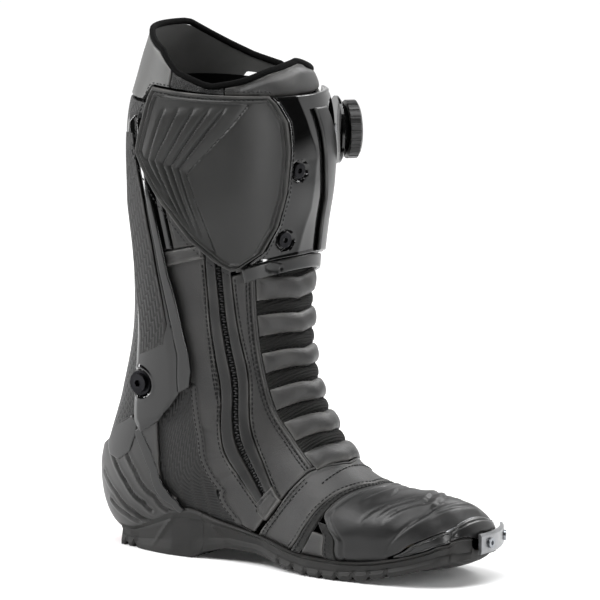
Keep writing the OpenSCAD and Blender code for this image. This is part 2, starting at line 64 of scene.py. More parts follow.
# The boot's skin: the same rings as the frame was built on.
boot = {
    "shiftX": -16.0,
    "shiftY": 1.3,
    # front x, z; rear x, z; medial and lateral half width; middle y; widest place; front and rear roundness;
    # lean
    "rings": [[156, 30, 156, 24, 2, 2, -3, .50, 2.0, 2.2, 0], [150, 41, 150, 16, 25, 25, -3, .55, 2.0, 2.4, -2],
        [139, 49, 138, 12, 36, 36, -2, .60, 2.0, 3.2, -5], [115, 54, 112, 9, 45, 43, -2, .62, 2.0, 3.8, -8],
        [90, 55, 80, 9, 49, 46, -2, .64, 2.0, 4.2, -8], [70, 62, 42, 9, 46, 45, -1, .64, 2.0, 4.2, -9],
        [53, 75, 0, 14, 41, 42, 0, .62, 2.0, 3.4, -9], [40, 92, -55, 13, 39, 41, -1, .58, 2.0, 3.2, -5],
        [29, 113, -112, 10, 41, 42, -2, .52, 2.0, 2.9, -3], [21, 137, -130, 46, 44, 45, -3, .48, 2.1, 2.4, -1],
        [16, 163, -114, 99, 48, 48, -3, .50, 2.2, 2.2, 0], [15, 190, -102, 144, 52, 52, -3, .50, 2.2, 2.2, 0],
        [17, 218, -100, 192, 56, 56, -3, .50, 2.2, 2.2, 0], [21, 248, -102, 236, 60, 60, -3, .50, 2.2, 2.2, 0],
        [22, 284, -102, 288, 61, 61, -3, .50, 2.2, 2.2, 0], [10, 324, -85, 342, 54, 54, -3, .50, 2.2, 2.2, 0],
        [0, 362, -72, 396, 50, 50, -3, .50, 2.2, 2.2, 0],
],
"bendStart": (-0.088, 0.0, 0.072),  # the ankle's bend starts at this height
"bendEnd": (-0.088, 0.0, 0.188),    # and ends at this one
}
ringTable = np.array(boot["rings"], float)
lastRow = len(ringTable) - 1
roundsOff = np.array([k not in (0, 2) for k in range(11)])


# One ring between two rows: a Catmull-Rom curve through them; the tip rounds off like a quarter ellipse.
def ringAt(s):
    s = np.clip(np.asarray(s, float), 0, lastRow)
    i = np.minimum(np.floor(s).astype(int), lastRow - 1)
    f = (s - i)[..., None]
    p, q, r, t = (ringTable[np.clip(i + k, 0, lastRow)] for k in (-1, 0, 1, 2))
    curve = .5 * (2 * q + (r - p) * f + (2 * p - 5 * q + 4 * r - t) * f ** 2 + (3 * q - p - 3 * r + t) * f ** 3)
    tip = ringTable[0] + (ringTable[1] - ringTable[0]) * np.where(roundsOff,
        np.sqrt(np.clip(1 - (1 - f) ** 2, 0, 1)), f)
    return np.where(s[..., None] < 1, tip, curve)


# A point of the skin: each ring is two half superellipses, front and rear, at angle a from the front.
def skin(s, a):
    s, a = np.broadcast_arrays(np.asarray(s, float), np.radians(np.asarray(a, float)))
    r = ringAt(s)
    c, n = np.cos(a), np.sin(a)
    power = 2 / np.where(c >= 0, r[..., 8], r[..., 9])
    lengthwise, sideways = np.abs(c) ** power, np.abs(n) ** power
    wide = r[..., 7]
    depth = np.where(c >= 0, wide - wide * lengthwise, wide + (1 - wide) * lengthwise)
    reach = np.where(n >= 0, -r[..., 4], r[..., 5])
    lean = r[..., 10] * np.maximum(0, c) ** 1.5
    return np.stack([r[..., 0] + (r[..., 2] - r[..., 0]) * depth + boot["shiftX"],
        r[..., 6] + reach * sideways + lean + boot["shiftY"], r[..., 1] + (r[..., 3] - r[..., 1]) * depth,], -1)


# The skin's outward normal: the cross product of the steps along and round it.
def outward(s, a):
    s, a = np.broadcast_arrays(np.asarray(s, float), np.asarray(a, float))
    n = np.cross(skin(np.minimum(lastRow, s + .01), a) - skin(np.maximum(0, s - .01), a),
        skin(s, a + 1) - skin(s, a - 1))
    return n / np.maximum(np.linalg.norm(n, axis=-1, keepdims=True), 1e-9)


# A skin point lifted by h mm along its normal.
def place(s, a, h=0.0):
    s, a, h = np.broadcast_arrays(np.asarray(s, float), np.asarray(a, float), np.asarray(h, float))
    return skin(s, a) + h[..., None] * outward(s, a)


# Linear reading of a table, or the number itself.
def readAt(table, t):
    if np.isscalar(table):
        return np.full(np.shape(t), float(table))
    rows = np.array(table, float)
    return np.interp(t, rows[:, 0], rows[:, 1])


# Slow waves that look random: a sum of sines in seeded directions, about 1 high, size mm long.
def unevenness(points, size, seed):
    dice = np.random.default_rng(seed)
    total = np.zeros(points.shape[:-1])
    for _ in range(7):
        way = dice.normal(size=3)
        way *= 2 * np.pi / (size * dice.uniform(.6, 1.5) * np.linalg.norm(way))
        total += np.sin(points @ way + dice.uniform(0, 6.28))
    return total / 2.6


def meshFrom(name, points, faceSets, uv=None, sharp=38):
    mesh = bpy.data.meshes.new(name)
    faceSets = [np.asarray(f, np.int32) for f in faceSets]
    corners = np.concatenate([f.ravel() for f in faceSets])
    sizes = np.concatenate([np.full(len(f), f.shape[1]) for f in faceSets])
    mesh.vertices.add(len(points))
    mesh.vertices.foreach_set("co", (np.asarray(points) * mm).astype(np.float32).ravel())
    mesh.loops.add(len(corners))
    mesh.loops.foreach_set("vertex_index", corners)
    mesh.polygons.add(len(sizes))
    mesh.polygons.foreach_set("loop_start", np.concatenate([[0], np.cumsum(sizes)[:-1]]).astype(np.int32))
    mesh.update(calc_edges=True)
    if uv is not None:
        mesh.uv_layers.new(name="cut").data.foreach_set("uv",
            (np.asarray(uv) * mm).astype(np.float32)[corners].ravel())
    mesh.polygons.foreach_set("use_smooth", np.ones(len(sizes), bool))
    mesh.set_sharp_from_angle(angle=math.radians(sharp))
    piece = bpy.data.objects.new(name, mesh)
    scene.collection.objects.link(piece)
    return piece


# Four-cornered faces of an n by m grid of points, numbered from start.
def gridFaces(n, m, start=0):
    k = np.arange(n * m).reshape(n, m) + start
    return np.stack([k[:-1, :-1], k[1:, :-1], k[1:, 1:], k[:-1, 1:]], -1).reshape(-1, 4)


# A closed sheet: its outer grid, its inner grid turned over, and a wall round the border.
def closedSheet(name, outer, inner, uv=None, sharp=38):
    n, m = outer.shape[:2]
    k = np.arange(n * m).reshape(n, m)
    rim = np.concatenate([k[:-1, 0], k[-1, :-1], k[:0:-1, -1], k[0, :0:-1]])
    after = np.roll(rim, -1)
    top, low = gridFaces(n, m), gridFaces(n, m, n * m)[:, ::-1]
    wall = np.stack([rim, rim + n * m, after + n * m, after], -1)
    i, j = n // 2, m // 2
    i, j = max(i, 1), max(j, 1)
    facing = np.cross(outer[i, j - 1] - outer[i - 1, j - 1], outer[i - 1, j] - outer[i - 1, j - 1])
    faces = [top, low, wall[:, ::-1]]
    if np.dot(facing, outer[i, j] - inner[i, j]) < 0:
        faces = [f[:, ::-1] for f in faces]
    points = np.concatenate([outer.reshape(-1, 3), inner.reshape(-1, 3)])
    both = None if uv is None else np.concatenate([uv.reshape(-1, 2)] * 2)
    return meshFrom(name, points, faces, both, sharp)


# Places from 0 to 1 along a length: fine steps inside the rounded edge, even ones between.
def spread(length, cell, edge):
    near = np.array([0, .1, .25, .5, .8, 1.15]) * edge
    if length < 3.2 * edge or edge <= 0:
        return np.linspace(0, 1, max(4, int(length / cell) + 1))
    middle = np.linspace(near[-1], length - near[-1], max(2, int((length - 2 * near[-1]) / cell) + 1))
    return np.concatenate([near[:-1], middle, length - near[-2::-1]]) / length


# Sum of the steps between neighbours along one axis of a grid, from 0.
def walk(points, axis):
    step = np.linalg.norm(np.diff(points, axis=axis), axis=-1)
    first = np.zeros_like(np.take(step, [0], axis=axis))
    return np.concatenate([first, np.cumsum(step, axis=axis)], axis)


# Quarter round towards an edge: nothing further in than the radius, the whole radius at the edge.
def rounding(distance, radius):
    inside = np.clip(1 - distance / max(radius, 1e-6), 0, 1)
    return radius * (1 - np.sqrt(1 - inside ** 2))


# A panel on the skin. Its rows give, for each place t, the low and high border; along reads t as the
# place along the boot and the borders as angles, otherwise the other way round. Heights are mm outwards.
def panel(name, rows, low=-2.2, high=0.0, along=True, cell=1.4, edge=.7, bulge=0.0, slant=0.0, relief=None,
        sharp=38):
    rows = np.array(rows, float)

    def onSkin(t, v):
        w = np.interp(t, rows[:, 0], rows[:, 1]) * (1 - v) + np.interp(t, rows[:, 0], rows[:, 2]) * v
        s, a = (t, w) if along else (w, t)
        return s + slant * np.abs(a), a

    unit = np.linspace(0, 1, 30)
    t, v = np.meshgrid(rows[0, 0] + (rows[-1, 0] - rows[0, 0]) * unit, unit, indexing="ij")
    rough = skin(*onSkin(t, v))
    lengths = [walk(rough, k).max() for k in (0, 1)]
    u, v = np.meshgrid(spread(lengths[0], cell, edge), spread(lengths[1], cell, edge), indexing="ij")
    t = rows[0, 0] + (rows[-1, 0] - rows[0, 0]) * u
    s, a = onSkin(t, v)
    base, normal = skin(s, a), outward(s, a)
    downwards, across = walk(base, 0), walk(base, 1)
    edgeDistance = np.minimum(np.minimum(downwards, downwards[-1:] - downwards),
        np.minimum(across, across[:, -1:] - across))
    crown = (np.clip(np.sin(np.pi * u), 0, 1) * np.clip(np.sin(np.pi * v), 0, 1)) ** .6
    lowH, highH = readAt(low, t), readAt(high, t)
    height = highH + bulge * crown - rounding(edgeDistance, edge)
    if relief:
        height = height + relief(dict(s=s, a=a, u=u, v=v, points=base, normal=normal, edge=edgeDistance,
            down=downwards, across=across))
    height = np.maximum(height, lowH + .25)
    middle = across.shape[1] // 2
    uv = np.stack([across - across[:, middle:middle + 1],
        np.broadcast_to(downwards[:, middle:middle + 1], across.shape)], -1)
    piece = closedSheet(name, base + height[..., None] * normal, base + lowH[..., None] * normal, uv, sharp)
    rubbed = np.exp(-edgeDistance / 1.1) * (.75 + .5 * unevenness(base, 18, 31))
    values = np.concatenate([np.clip(rubbed, 0, 1).ravel(), np.zeros(base.shape[0] * base.shape[1])])
    piece.data.attributes.new("worn", "FLOAT", "POINT").data.foreach_set("value", values.astype(np.float32))
    return piece


# A line drawn on the skin through (place, angle) nodes, in even steps, moved sideways by inset mm.
def lineOn(nodes, h=0.0, inset=0.0, step=.8):
    nodes = np.array(nodes, float)
    f = np.linspace(0, len(nodes) - 1, 60 * len(nodes))
    s, a = (np.interp(f, np.arange(len(nodes)), nodes[:, k]) for k in (0, 1))
    length = walk(skin(s, a), 0)
    even = np.linspace(0, length[-1], max(3, int(length[-1] / step) + 1))
    s, a = np.interp(even, length, s), np.interp(even, length, a)
    normal = outward(s, a)
    points = skin(s, a) + h * normal
    tangent = np.gradient(points, axis=0)
    tangent /= np.linalg.norm(tangent, axis=-1, keepdims=True)
    side = np.cross(normal, tangent)
    return points + inset * side, normal, tangent, side


# How far grid points are from a line on the skin, in mm, and on which side of it they are.
def fromLine(points, nodes, h=0.0):
    line, _, _, side = lineOn(nodes, h, step=1.0)
    flat = points.reshape(-1, 3)
    best = np.full(len(flat), 1e9)
    which = np.zeros(len(flat), int)
    for start in range(0, len(flat), 4000):
        apart = np.linalg.norm(flat[start:start + 4000, None] - line[None], axis=-1)
        which[start:start + 4000] = apart.argmin(1)
        best[start:start + 4000] = apart.min(1)
    sign = np.sign(np.sum((flat - line[which]) * side[which], -1))
    return best.reshape(points.shape[:-1]), sign.reshape(points.shape[:-1])


# Thread stitches: one small capsule, a rod with pointed ends, copied in even steps along each line.
def stitches(name, lines, pitch=3.2, length=2.3, radius=.46):
    turn = np.radians(np.arange(6) * 60)
    rings = np.array([[-.38, .75], [0, 1], [.38, .75]])
    body = np.array([[x * length, np.cos(t) * r * radius, np.sin(t) * r * radius] for x,
        r in rings for t in turn])
    body = np.concatenate([body, [[-length / 2, 0, -radius * .6], [length / 2, 0, -radius * .6]]])
    k = np.arange(6)
    quads = np.concatenate([np.stack([k + r, (k + 1) % 6 + r, (k + 1) % 6 + r + 6, k + r + 6], -1)
        for r in (0, 6)])
    tips = np.concatenate([np.stack([(k + 1) % 6, k, k * 0 + 18], -1),
        np.stack([k + 12, (k + 1) % 6 + 12, k * 0 + 19], -1)])
    frames = [[], [], [], []]
    for nodes, h, inset in lines:
        parts = lineOn(nodes, h, inset, .4)
        along = walk(parts[0], 0)
        at = np.arange(pitch / 2, along[-1], pitch)
        pick = np.searchsorted(along, at).clip(0, len(along) - 1)
        for k2 in range(4):
            frames[k2].append(parts[k2][pick])
    centre, normal, tangent, side = (np.concatenate(f) for f in frames)
    points = (centre[:, None] + body[None, :, :1] * tangent[:, None] + body[None, :, 1:2] * side[:, None]
        + body[None, :, 2:] * normal[:, None])
    shift = (np.arange(len(centre)) * len(body))[:, None, None]
    # side cross tangent points inwards, so the faces keep this order to look outwards
    return meshFrom(name, points.reshape(-1, 3), [(quads[None] + shift).reshape(-1, 4),
        (tips[None] + shift).reshape(-1, 3)], None, 60)


# A round section carried along a line of points, drawn in to a tip at both ends.
def rope(name, points, normal, radius, sides=10, flat=1.0, taper=3):
    points = np.asarray(points, float)
    tangent = np.gradient(points, axis=0)
    tangent /= np.linalg.norm(tangent, axis=-1, keepdims=True)
    side = np.cross(normal, tangent)
    side /= np.linalg.norm(side, axis=-1, keepdims=True)
    up = np.cross(tangent, side)
    n = len(points)
    k = np.minimum(np.arange(n), np.arange(n)[::-1])
    size = radius * np.sqrt(1 - (1 - np.clip((k + .15) / taper, 0, 1)) ** 2)
    turn = np.radians(np.arange(sides) * 360 / sides)
    ring = (np.cos(turn)[None, :, None] * side[:, None] + flat * np.sin(turn)[None, :, None] * up[:, None])
    grid = points[:, None] + ring * size[:, None, None]
    i = np.arange(n * sides).reshape(n, sides)
    j = np.roll(i, -1, 1)
    quads = np.stack([i[:-1], j[:-1], j[1:], i[1:]], -1).reshape(-1, 4)
    ends = [i[0][::-1][None], i[-1][None]]
    down = np.broadcast_to(walk(points, 0)[:, None], (n, sides))
    round_ = np.broadcast_to(turn * radius, (n, sides))
    return meshFrom(name, grid.reshape(-1, 3), [quads, ends[0], ends[1]],
        np.stack([round_, down], -1).reshape(-1, 2), 50)


# The same rows or nodes on the other side of the boot.
def mirrored(rows):
    return [[r[0], -r[2], -r[1]] for r in rows]


def mirroredNodes(nodes):
    return [[s, -a] for s, a in nodes]


# Gives a piece its finish and hides the frame nodes that it stands for; it hangs the piece on its body, or for
# the ankle bakes its place into the mesh.
def finished(piece, material, nodes=(), body="leg"):
    piece.data.materials.clear()
    piece.data.materials.append(finish[material])
    if nodes:
        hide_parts(*nodes)
    if body == "ankle":
        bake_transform(piece)
    else:
        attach(piece, body)
    return piece


# Finishes.
def linear(code):
    parts = [int(code[k:k + 2], 16) / 255 for k in (1, 3, 5)]
    return tuple(c / 12.92 if c <= .04045 else ((c + .055) / 1.055) ** 2.4 for c in parts) + (1.0,)


# Adds one node: named words are its own settings, the inputs are values or sockets to link.
def addNode(tree, kind, inputs=None, **settings):
    node = tree.nodes.new("ShaderNode" + kind)
    for key, value in settings.items():
        setattr(node, key, value)
    for key, value in (inputs or {}).items():
        if isinstance(value, bpy.types.NodeSocket):
            tree.links.new(value, node.inputs[key])
        else:
            node.inputs[key].default_value = value
    return node


# Colour between two hex values, roughness between two numbers and a bump, from mask and height sockets.
def dress(material, tree, colours, mask, rough, height, depthMm, constants):
    worn = addNode(tree, "Attribute", attribute_name="worn").outputs["Fac"]
    tone = addNode(tree, "Mix", {0: mask, 6: linear(colours[0]), 7: linear(colours[1])},
        data_type="RGBA").outputs[2]
    edged = addNode(tree, "Mix", {0: worn, 6: tone, 7: linear(colours[2])}, data_type="RGBA").outputs[2]
    shine = addNode(tree, "MapRange", {0: mask, 3: rough[0], 4: rough[1]}).outputs[0]
    bump = addNode(tree, "Bump", {"Height": height, "Distance": depthMm * mm, "Strength": 1.0})
    shader = addNode(tree, "BsdfPrincipled", {"Base Color": edged, "Roughness": shine,
        "Normal": bump.outputs[0]})
    for key, value in constants.items():
        shader.inputs[key].default_value = value
    addNode(tree, "OutputMaterial", {"Surface": shader.outputs[0]})
    return material


def newFinish(name):
    material = bpy.data.materials.new(name)
    material.use_nodes = True
    material.node_tree.nodes.clear()
    return material, material.node_tree


# Leather: cells of grain in the surface, broad patches of a darker and a lighter dye.
def leather(name, colours, grain=1.0, depth=.12, rough=(.36, .52), patch=26, constants=None):
    material, tree = newFinish(name)
    where = addNode(tree, "TexCoord").outputs["Object"]
    cells = addNode(tree, "TexVoronoi", {"Vector": where, "Scale": 1000 / grain},
        feature="SMOOTH_F1").outputs["Distance"]
    fine = addNode(tree, "TexNoise", {"Vector": where, "Scale": 1000 / (grain * .5),
        "Detail": 3.0}).outputs["Fac"]
    broad = addNode(tree, "TexNoise", {"Vector": where, "Scale": 1000 / patch, "Detail": 4.0,
        "Roughness": .6}).outputs["Fac"]
    height = addNode(tree, "Math", {0: cells, 1: .35, 2: fine}, operation="MULTIPLY_ADD").outputs[0]
    mask = addNode(tree, "MapRange", {0: broad, 1: .3, 2: .7}).outputs[0]
    return dress(material, tree, colours, mask, rough, height, depth,
        {"Specular IOR Level": .5, **(constants or {})})


# Moulded rubber or plastic: the mould's fine spark-eroded grain and faint flow patches.
def moulded(name, colours, grain=.6, depth=.03, rough=(.4, .5), patch=40, constants=None):
    material, tree = newFinish(name)
    where = addNode(tree, "TexCoord").outputs["Object"]
    fine = addNode(tree, "TexNoise", {"Vector": where, "Scale": 1000 / grain, "Detail": 2.0}).outputs["Fac"]
    broad = addNode(tree, "TexNoise", {"Vector": where, "Scale": 1000 / patch, "Detail": 5.0,
        "Roughness": .65}).outputs["Fac"]
    mask = addNode(tree, "MapRange", {0: broad, 1: .32, 2: .68}).outputs[0]
    return dress(material, tree, colours, mask, rough, fine, depth, constants or {})


# Cloth: threads across and along the cut, over and under each other every few threads.
def woven(name, colours, thread=.9, over=2, repeat=4, depth=.2, rough=(.5, .8), ribbed=0.0, constants=None):
    material, tree = newFinish(name)
    cut = addNode(tree, "UVMap", uv_map="cut").outputs["UV"]
    threads = addNode(tree, "Mapping", {"Vector": cut, "Scale": (1000 / thread,) * 3}).outputs[0]
    split = addNode(tree, "SeparateXYZ", {0: threads})
    x, y = split.outputs[0], split.outputs[1]
    floorX = addNode(tree, "Math", {0: x}, operation="FLOOR").outputs[0]
    floorY = addNode(tree, "Math", {0: y}, operation="FLOOR").outputs[0]
    both = addNode(tree, "Math", {0: floorX, 1: floorY}, operation="ADD").outputs[0]
    turn = addNode(tree, "Math", {0: both, 1: 0.0, 2: float(repeat)}, operation="WRAP").outputs[0]
    onTop = addNode(tree, "Math", {0: turn, 1: over - .5}, operation="LESS_THAN").outputs[0]
    high = []
    for way in (x, y):
        there = addNode(tree, "Math", {0: way, 1: 1.0}, operation="PINGPONG").outputs[0]
        wave = addNode(tree, "Math", {0: there, 1: .5}, operation="SUBTRACT").outputs[0]
        high.append(addNode(tree, "Math", {0: wave, 1: wave, 2: 0.0}, operation="MULTIPLY_ADD").outputs[0])
    cloth = addNode(tree, "Mix", {0: onTop, 2: high[0], 3: high[1]}).outputs[0]
    height = addNode(tree, "Math", {0: cloth, 1: -4.0, 2: 1.0}, operation="MULTIPLY_ADD").outputs[0]
    if ribbed:
        phase = addNode(tree, "Math", {0: y, 1: 2 * math.pi / ribbed}, operation="MULTIPLY").outputs[0]
        ribs = addNode(tree, "Math", {0: phase}, operation="SINE").outputs[0]
        height = addNode(tree, "Math", {0: ribs, 1: 1.6, 2: height}, operation="MULTIPLY_ADD").outputs[0]
    where = addNode(tree, "TexCoord").outputs["Object"]
    lint = addNode(tree, "TexNoise", {"Vector": where, "Scale": 60.0, "Detail": 6.0,
        "Roughness": .7}).outputs["Fac"]
    mask = addNode(tree, "Mix", {0: .45, 2: onTop, 3: lint}).outputs[0]
    return dress(material, tree, colours, mask, rough, height, depth, constants or {})


# Metal: fine lines of the cutting or brushing, stretched along one axis.
def metal(name, colours, way=(1, 1, 12), depth=.01, rough=(.25, .38), constants=None):
    material, tree = newFinish(name)
    where = addNode(tree, "TexCoord").outputs["Object"]
    lines = addNode(tree, "Mapping", {"Vector": where, "Scale": tuple(220 * k for k in way)}).outputs[0]
    fine = addNode(tree, "TexNoise", {"Vector": lines, "Scale": 1.0, "Detail": 4.0}).outputs["Fac"]
    broad = addNode(tree, "TexNoise", {"Vector": where, "Scale": 90.0, "Detail": 3.0}).outputs["Fac"]
    mask = addNode(tree, "MapRange", {0: broad, 1: .3, 2: .7}).outputs[0]
    return dress(material, tree, colours, mask, rough, fine, depth, {"Metallic": 1.0, **(constants or {})})


finish = {name: make(name, *values) for name, make, *values in [
    # corrected cowhide: soft satin shine over an even pebble grain about 1 mm across
    ("fullGrainLeather", leather, ("#1a1a1a", "#292827", "#4d4c4a"), 1.0, .2, (.4, .54), 26,
        {"Specular IOR Level": .42}),
    # split leather with a pressed film: smoother and lighter, with a dull sheen
    ("smoothLeather", leather, ("#434342", "#50504f", "#6a6a69"), .7, .05, (.42, .52), 34,
        {"Specular IOR Level": .4}),
    # suede: napped fibres, no shine; fibre clumps drawn at 0.8 mm so that they show
    ("nappedSuede", leather, ("#0b0b0a", "#181817", "#2a2a29"), .8, .3, (.9, 1.0), 9,
        {"Sheen Weight": .2, "Sheen Roughness": .5, "Specular IOR Level": .1}),
    # TPU flap, moulded with a matt grain
    ("mattRubber", moulded, ("#121211", "#1b1b1a", "#3a3937"), .5, .035, (.42, .54), 50,
        {"Specular IOR Level": .4}),
    # TPU toe cover: satin, scuffed a little lighter along its edges
    ("satinRubber", moulded, ("#0c0c0c", "#151515", "#333231"), .8, .05, (.36, .52), 18,
        {"Specular IOR Level": .36}),
    # carbon-filled rubber sole: dull, with broad patches of dusty grey
    ("soleRubber", moulded, ("#111110", "#1d1c1b", "#2f2e2c"), 1.2, .08, (.48, .66), 22,
        {"Specular IOR Level": .32}),
    # polycarbonate, polished mould: a deep black with a clear reflection
    ("polishedPolycarbonate", moulded, ("#030303", "#050505", "#141414"), 6.0, .01,
        (.05, .09), 30, {"Specular IOR Level": .5}),
    # nylon, satin mould: small parts and frames
    ("satinNylon", moulded, ("#0f0f0f", "#181818", "#333332"), .5, .02, (.28, .38), 24,
        {"Specular IOR Level": .4}),
    # the heel cup's satin TPU
    ("cupPlastic", moulded, ("#141413", "#201f1e", "#3b3a38"), .7, .03, (.34, .46), 30,
        {"Specular IOR Level": .5}),
    # woven fibre look under satin resin: tows drawn 2.6 mm wide, over two and under two
    ("twillComposite", woven, ("#070707", "#161615", "#2b2a29"), 2.6, 2, 4, .2, (.34, .56), 0,
        {"Specular IOR Level": .3}),
    # elastic textile with a rib every 2 mm
    ("stretchRib", woven, ("#0b0b0a", "#1b1b19", "#2a2a28"), .55, 1, 2, .22, (.7, .85), 3.6,
        {"Specular IOR Level": .2}),
    # polyester knit lining: a black knit, darkened further to nearly black as painted shade of the boot's
    # inside, loops drawn at 0.8 mm
    ("knitLining", woven, ("#020202", "#070707", "#101010"), .8, 1, 2, .3, (.85, .98), 0,
        {"Specular IOR Level": .1}),
    # woven polyester zip tape
    ("wovenTape", woven, ("#070707", "#121212", "#242424"), .6, 1, 2, .14, (.6, .75), 3.0,
        {"Specular IOR Level": .25}),
    # hook and loop pile: a tangle of loops
    ("loopPile", leather, ("#080808", "#2a2a2a", "#3a3a3a"), 1.3, .8, (.85, 1.0), 3,
        {"Sheen Weight": .3, "Specular IOR Level": .2}),
    # nylon coil and its neighbours
    ("coilNylon", moulded, ("#060606", "#101010", "#1f1f1f"), .4, .02, (.3, .42), 6,
        {"Specular IOR Level": .4}),
    # bonded polyester thread: slightly shiny twisted strands
    ("bondedThread", moulded, ("#040404", "#0a0a0a", "#101010"), .5, .12, (.45, .6), 5,
        {"Specular IOR Level": .25}),
    # zinc alloy, blackened
    ("blackenedZinc", metal, ("#3f3f40", "#515152", "#8a8a8b"), (1, 1, 6), .02, (.3, .42)),
    # aluminium alloy, milled and tumbled: grey with fine lines
    ("milledAluminium", metal, ("#7a7b7c", "#97989a", "#b5b6b8"), (2, 2, 9), .03, (.3, .44)),
    # black-oxide steel screws
    ("blackOxideSteel", metal, ("#1d1d1f", "#2b2b2d", "#4a4a4c"), (3, 3, 3), .01, (.26, .38)),
    # turned stainless steel
    ("turnedSteel", metal, ("#7c7f83", "#96999d", "#b4b7bb"), (9, 9, 1), .02, (.2, .34)),
    # pigmented rubber insert
    ("redRubber", moulded, ("#9c0a0e", "#c01218", "#cf2a2e"), .8, .04, (.4, .5), 8, {"Specular IOR Level": .4}),
    # pressed fibre board and closed-cell foam
    ("pressedBoard", leather, ("#6c6252", "#857a66", "#958a76"), 1.6, .2, (.85, .95), 6),
    ("closedCellFoam", leather, ("#1c1d1e", "#292a2c", "#343538"), .9, .25, (.8, .95), 14),
]}
print("finishes:", len(finish))

# Lines that several pieces share, as (place, angle) nodes.
lines = {
    "zip": [[5.9, 88], [6.58, 73.5], [7.6, 62.5], [8.93, 53], [10.28, 58], [11.6, 61.5], [14.3, 60]],
    "seam": [[5.95, 122], [6.22, 115], [6.48, 102.5], [6.69, 97], [7.01, 91.5], [7.65, 83.5], [8.28, 78.5],
        [9.4, 78.5], [10.5, 108], [14.42, 108]],
    "rim": [[-86, 14.58], [-67, 14.57], [-44, 14.68], [-8, 14.93], [21, 14.8], [44, 14.62], [67, 14.5],
        [90, 14.62], [107, 14.86], [141, 15], [195, 15], [216, 14.86], [235, 14.74], [253, 14.64],
        [274, 14.58]],
    "soleEdge": [[0, 58], [.6, 74], [1, 84], [2, 94], [3, 107], [4, 122], [5, 122], [6, 121], [6.5, 114],
        [7, 107], [7.25, 105], [7.5, 109], [7.8, 142], [8.1, 150]],
}


# The zip's line, its corners eased by averaging over a short stretch.
def zipAngle(s):
    return sum(readAt(lines["zip"], s + d) for d in (-.36, -.24, -.12, 0, .12, .24, .36)) / 7


def seamAngle(s):
    return sum(readAt(lines["seam"], s + d) for d in (-.1, -.05, 0, .05, .1)) / 5


def rim(a):
    return readAt(lines["rim"], a)


# Rows of a panel along the leg from two functions of the place.
def rowsBetween(start, stop, lowLine, highLine, count=24):
    s = np.linspace(start, stop, count)
    return np.stack([s, lowLine(s), highLine(s)], -1)


# Nodes of a line: its angle worked out from the place, or its place from the angle.
def nodesAlong(angle, start, stop, count):
    s = np.linspace(start, stop, count)
    return np.stack([s, np.broadcast_to(angle(s), s.shape)], -1)


def nodesAround(place, start, stop, step=6.0):
    t = np.arange(start, stop, step)
    return np.stack([np.broadcast_to(place(t), t.shape), t], -1)


# A ridge or groove with a bell-shaped section, depth mm high and width mm wide.
def bell(distance, depth, width):
    return depth * np.exp(-(distance / width) ** 2)


# Sole.
sole = {
    # x, medial and lateral half width, height of the tread
    "tread": [[-128, 6, 6, 12], [-122, 18, 18, 3], [-112, 27, 27, 0], [-98, 33, 33, 0], [-84, 35, 36, 0],
        [-66, 36, 38, 0], [-52, 36, 39, 0], [-42, 36, 39, 0], [-32, 35, 39, 5], [-15, 34, 41, 9],
        [8, 38, 45, 8], [32, 46, 49, 3], [54, 50, 50, 0], [78, 51, 47, 0], [102, 46, 41, 3], [124, 37, 32, 8],
        [144, 24, 18, 14], [158, 8, 4, 18]],
    "corner": 3.2,      # rounding between tread and wall
    "heelNotches": (-119, -110.5, -102, -93.5),
    "foreNotches": (30, 42, 54, 66, 78, 90, 102, 114),
    "notch": 2.4,
}


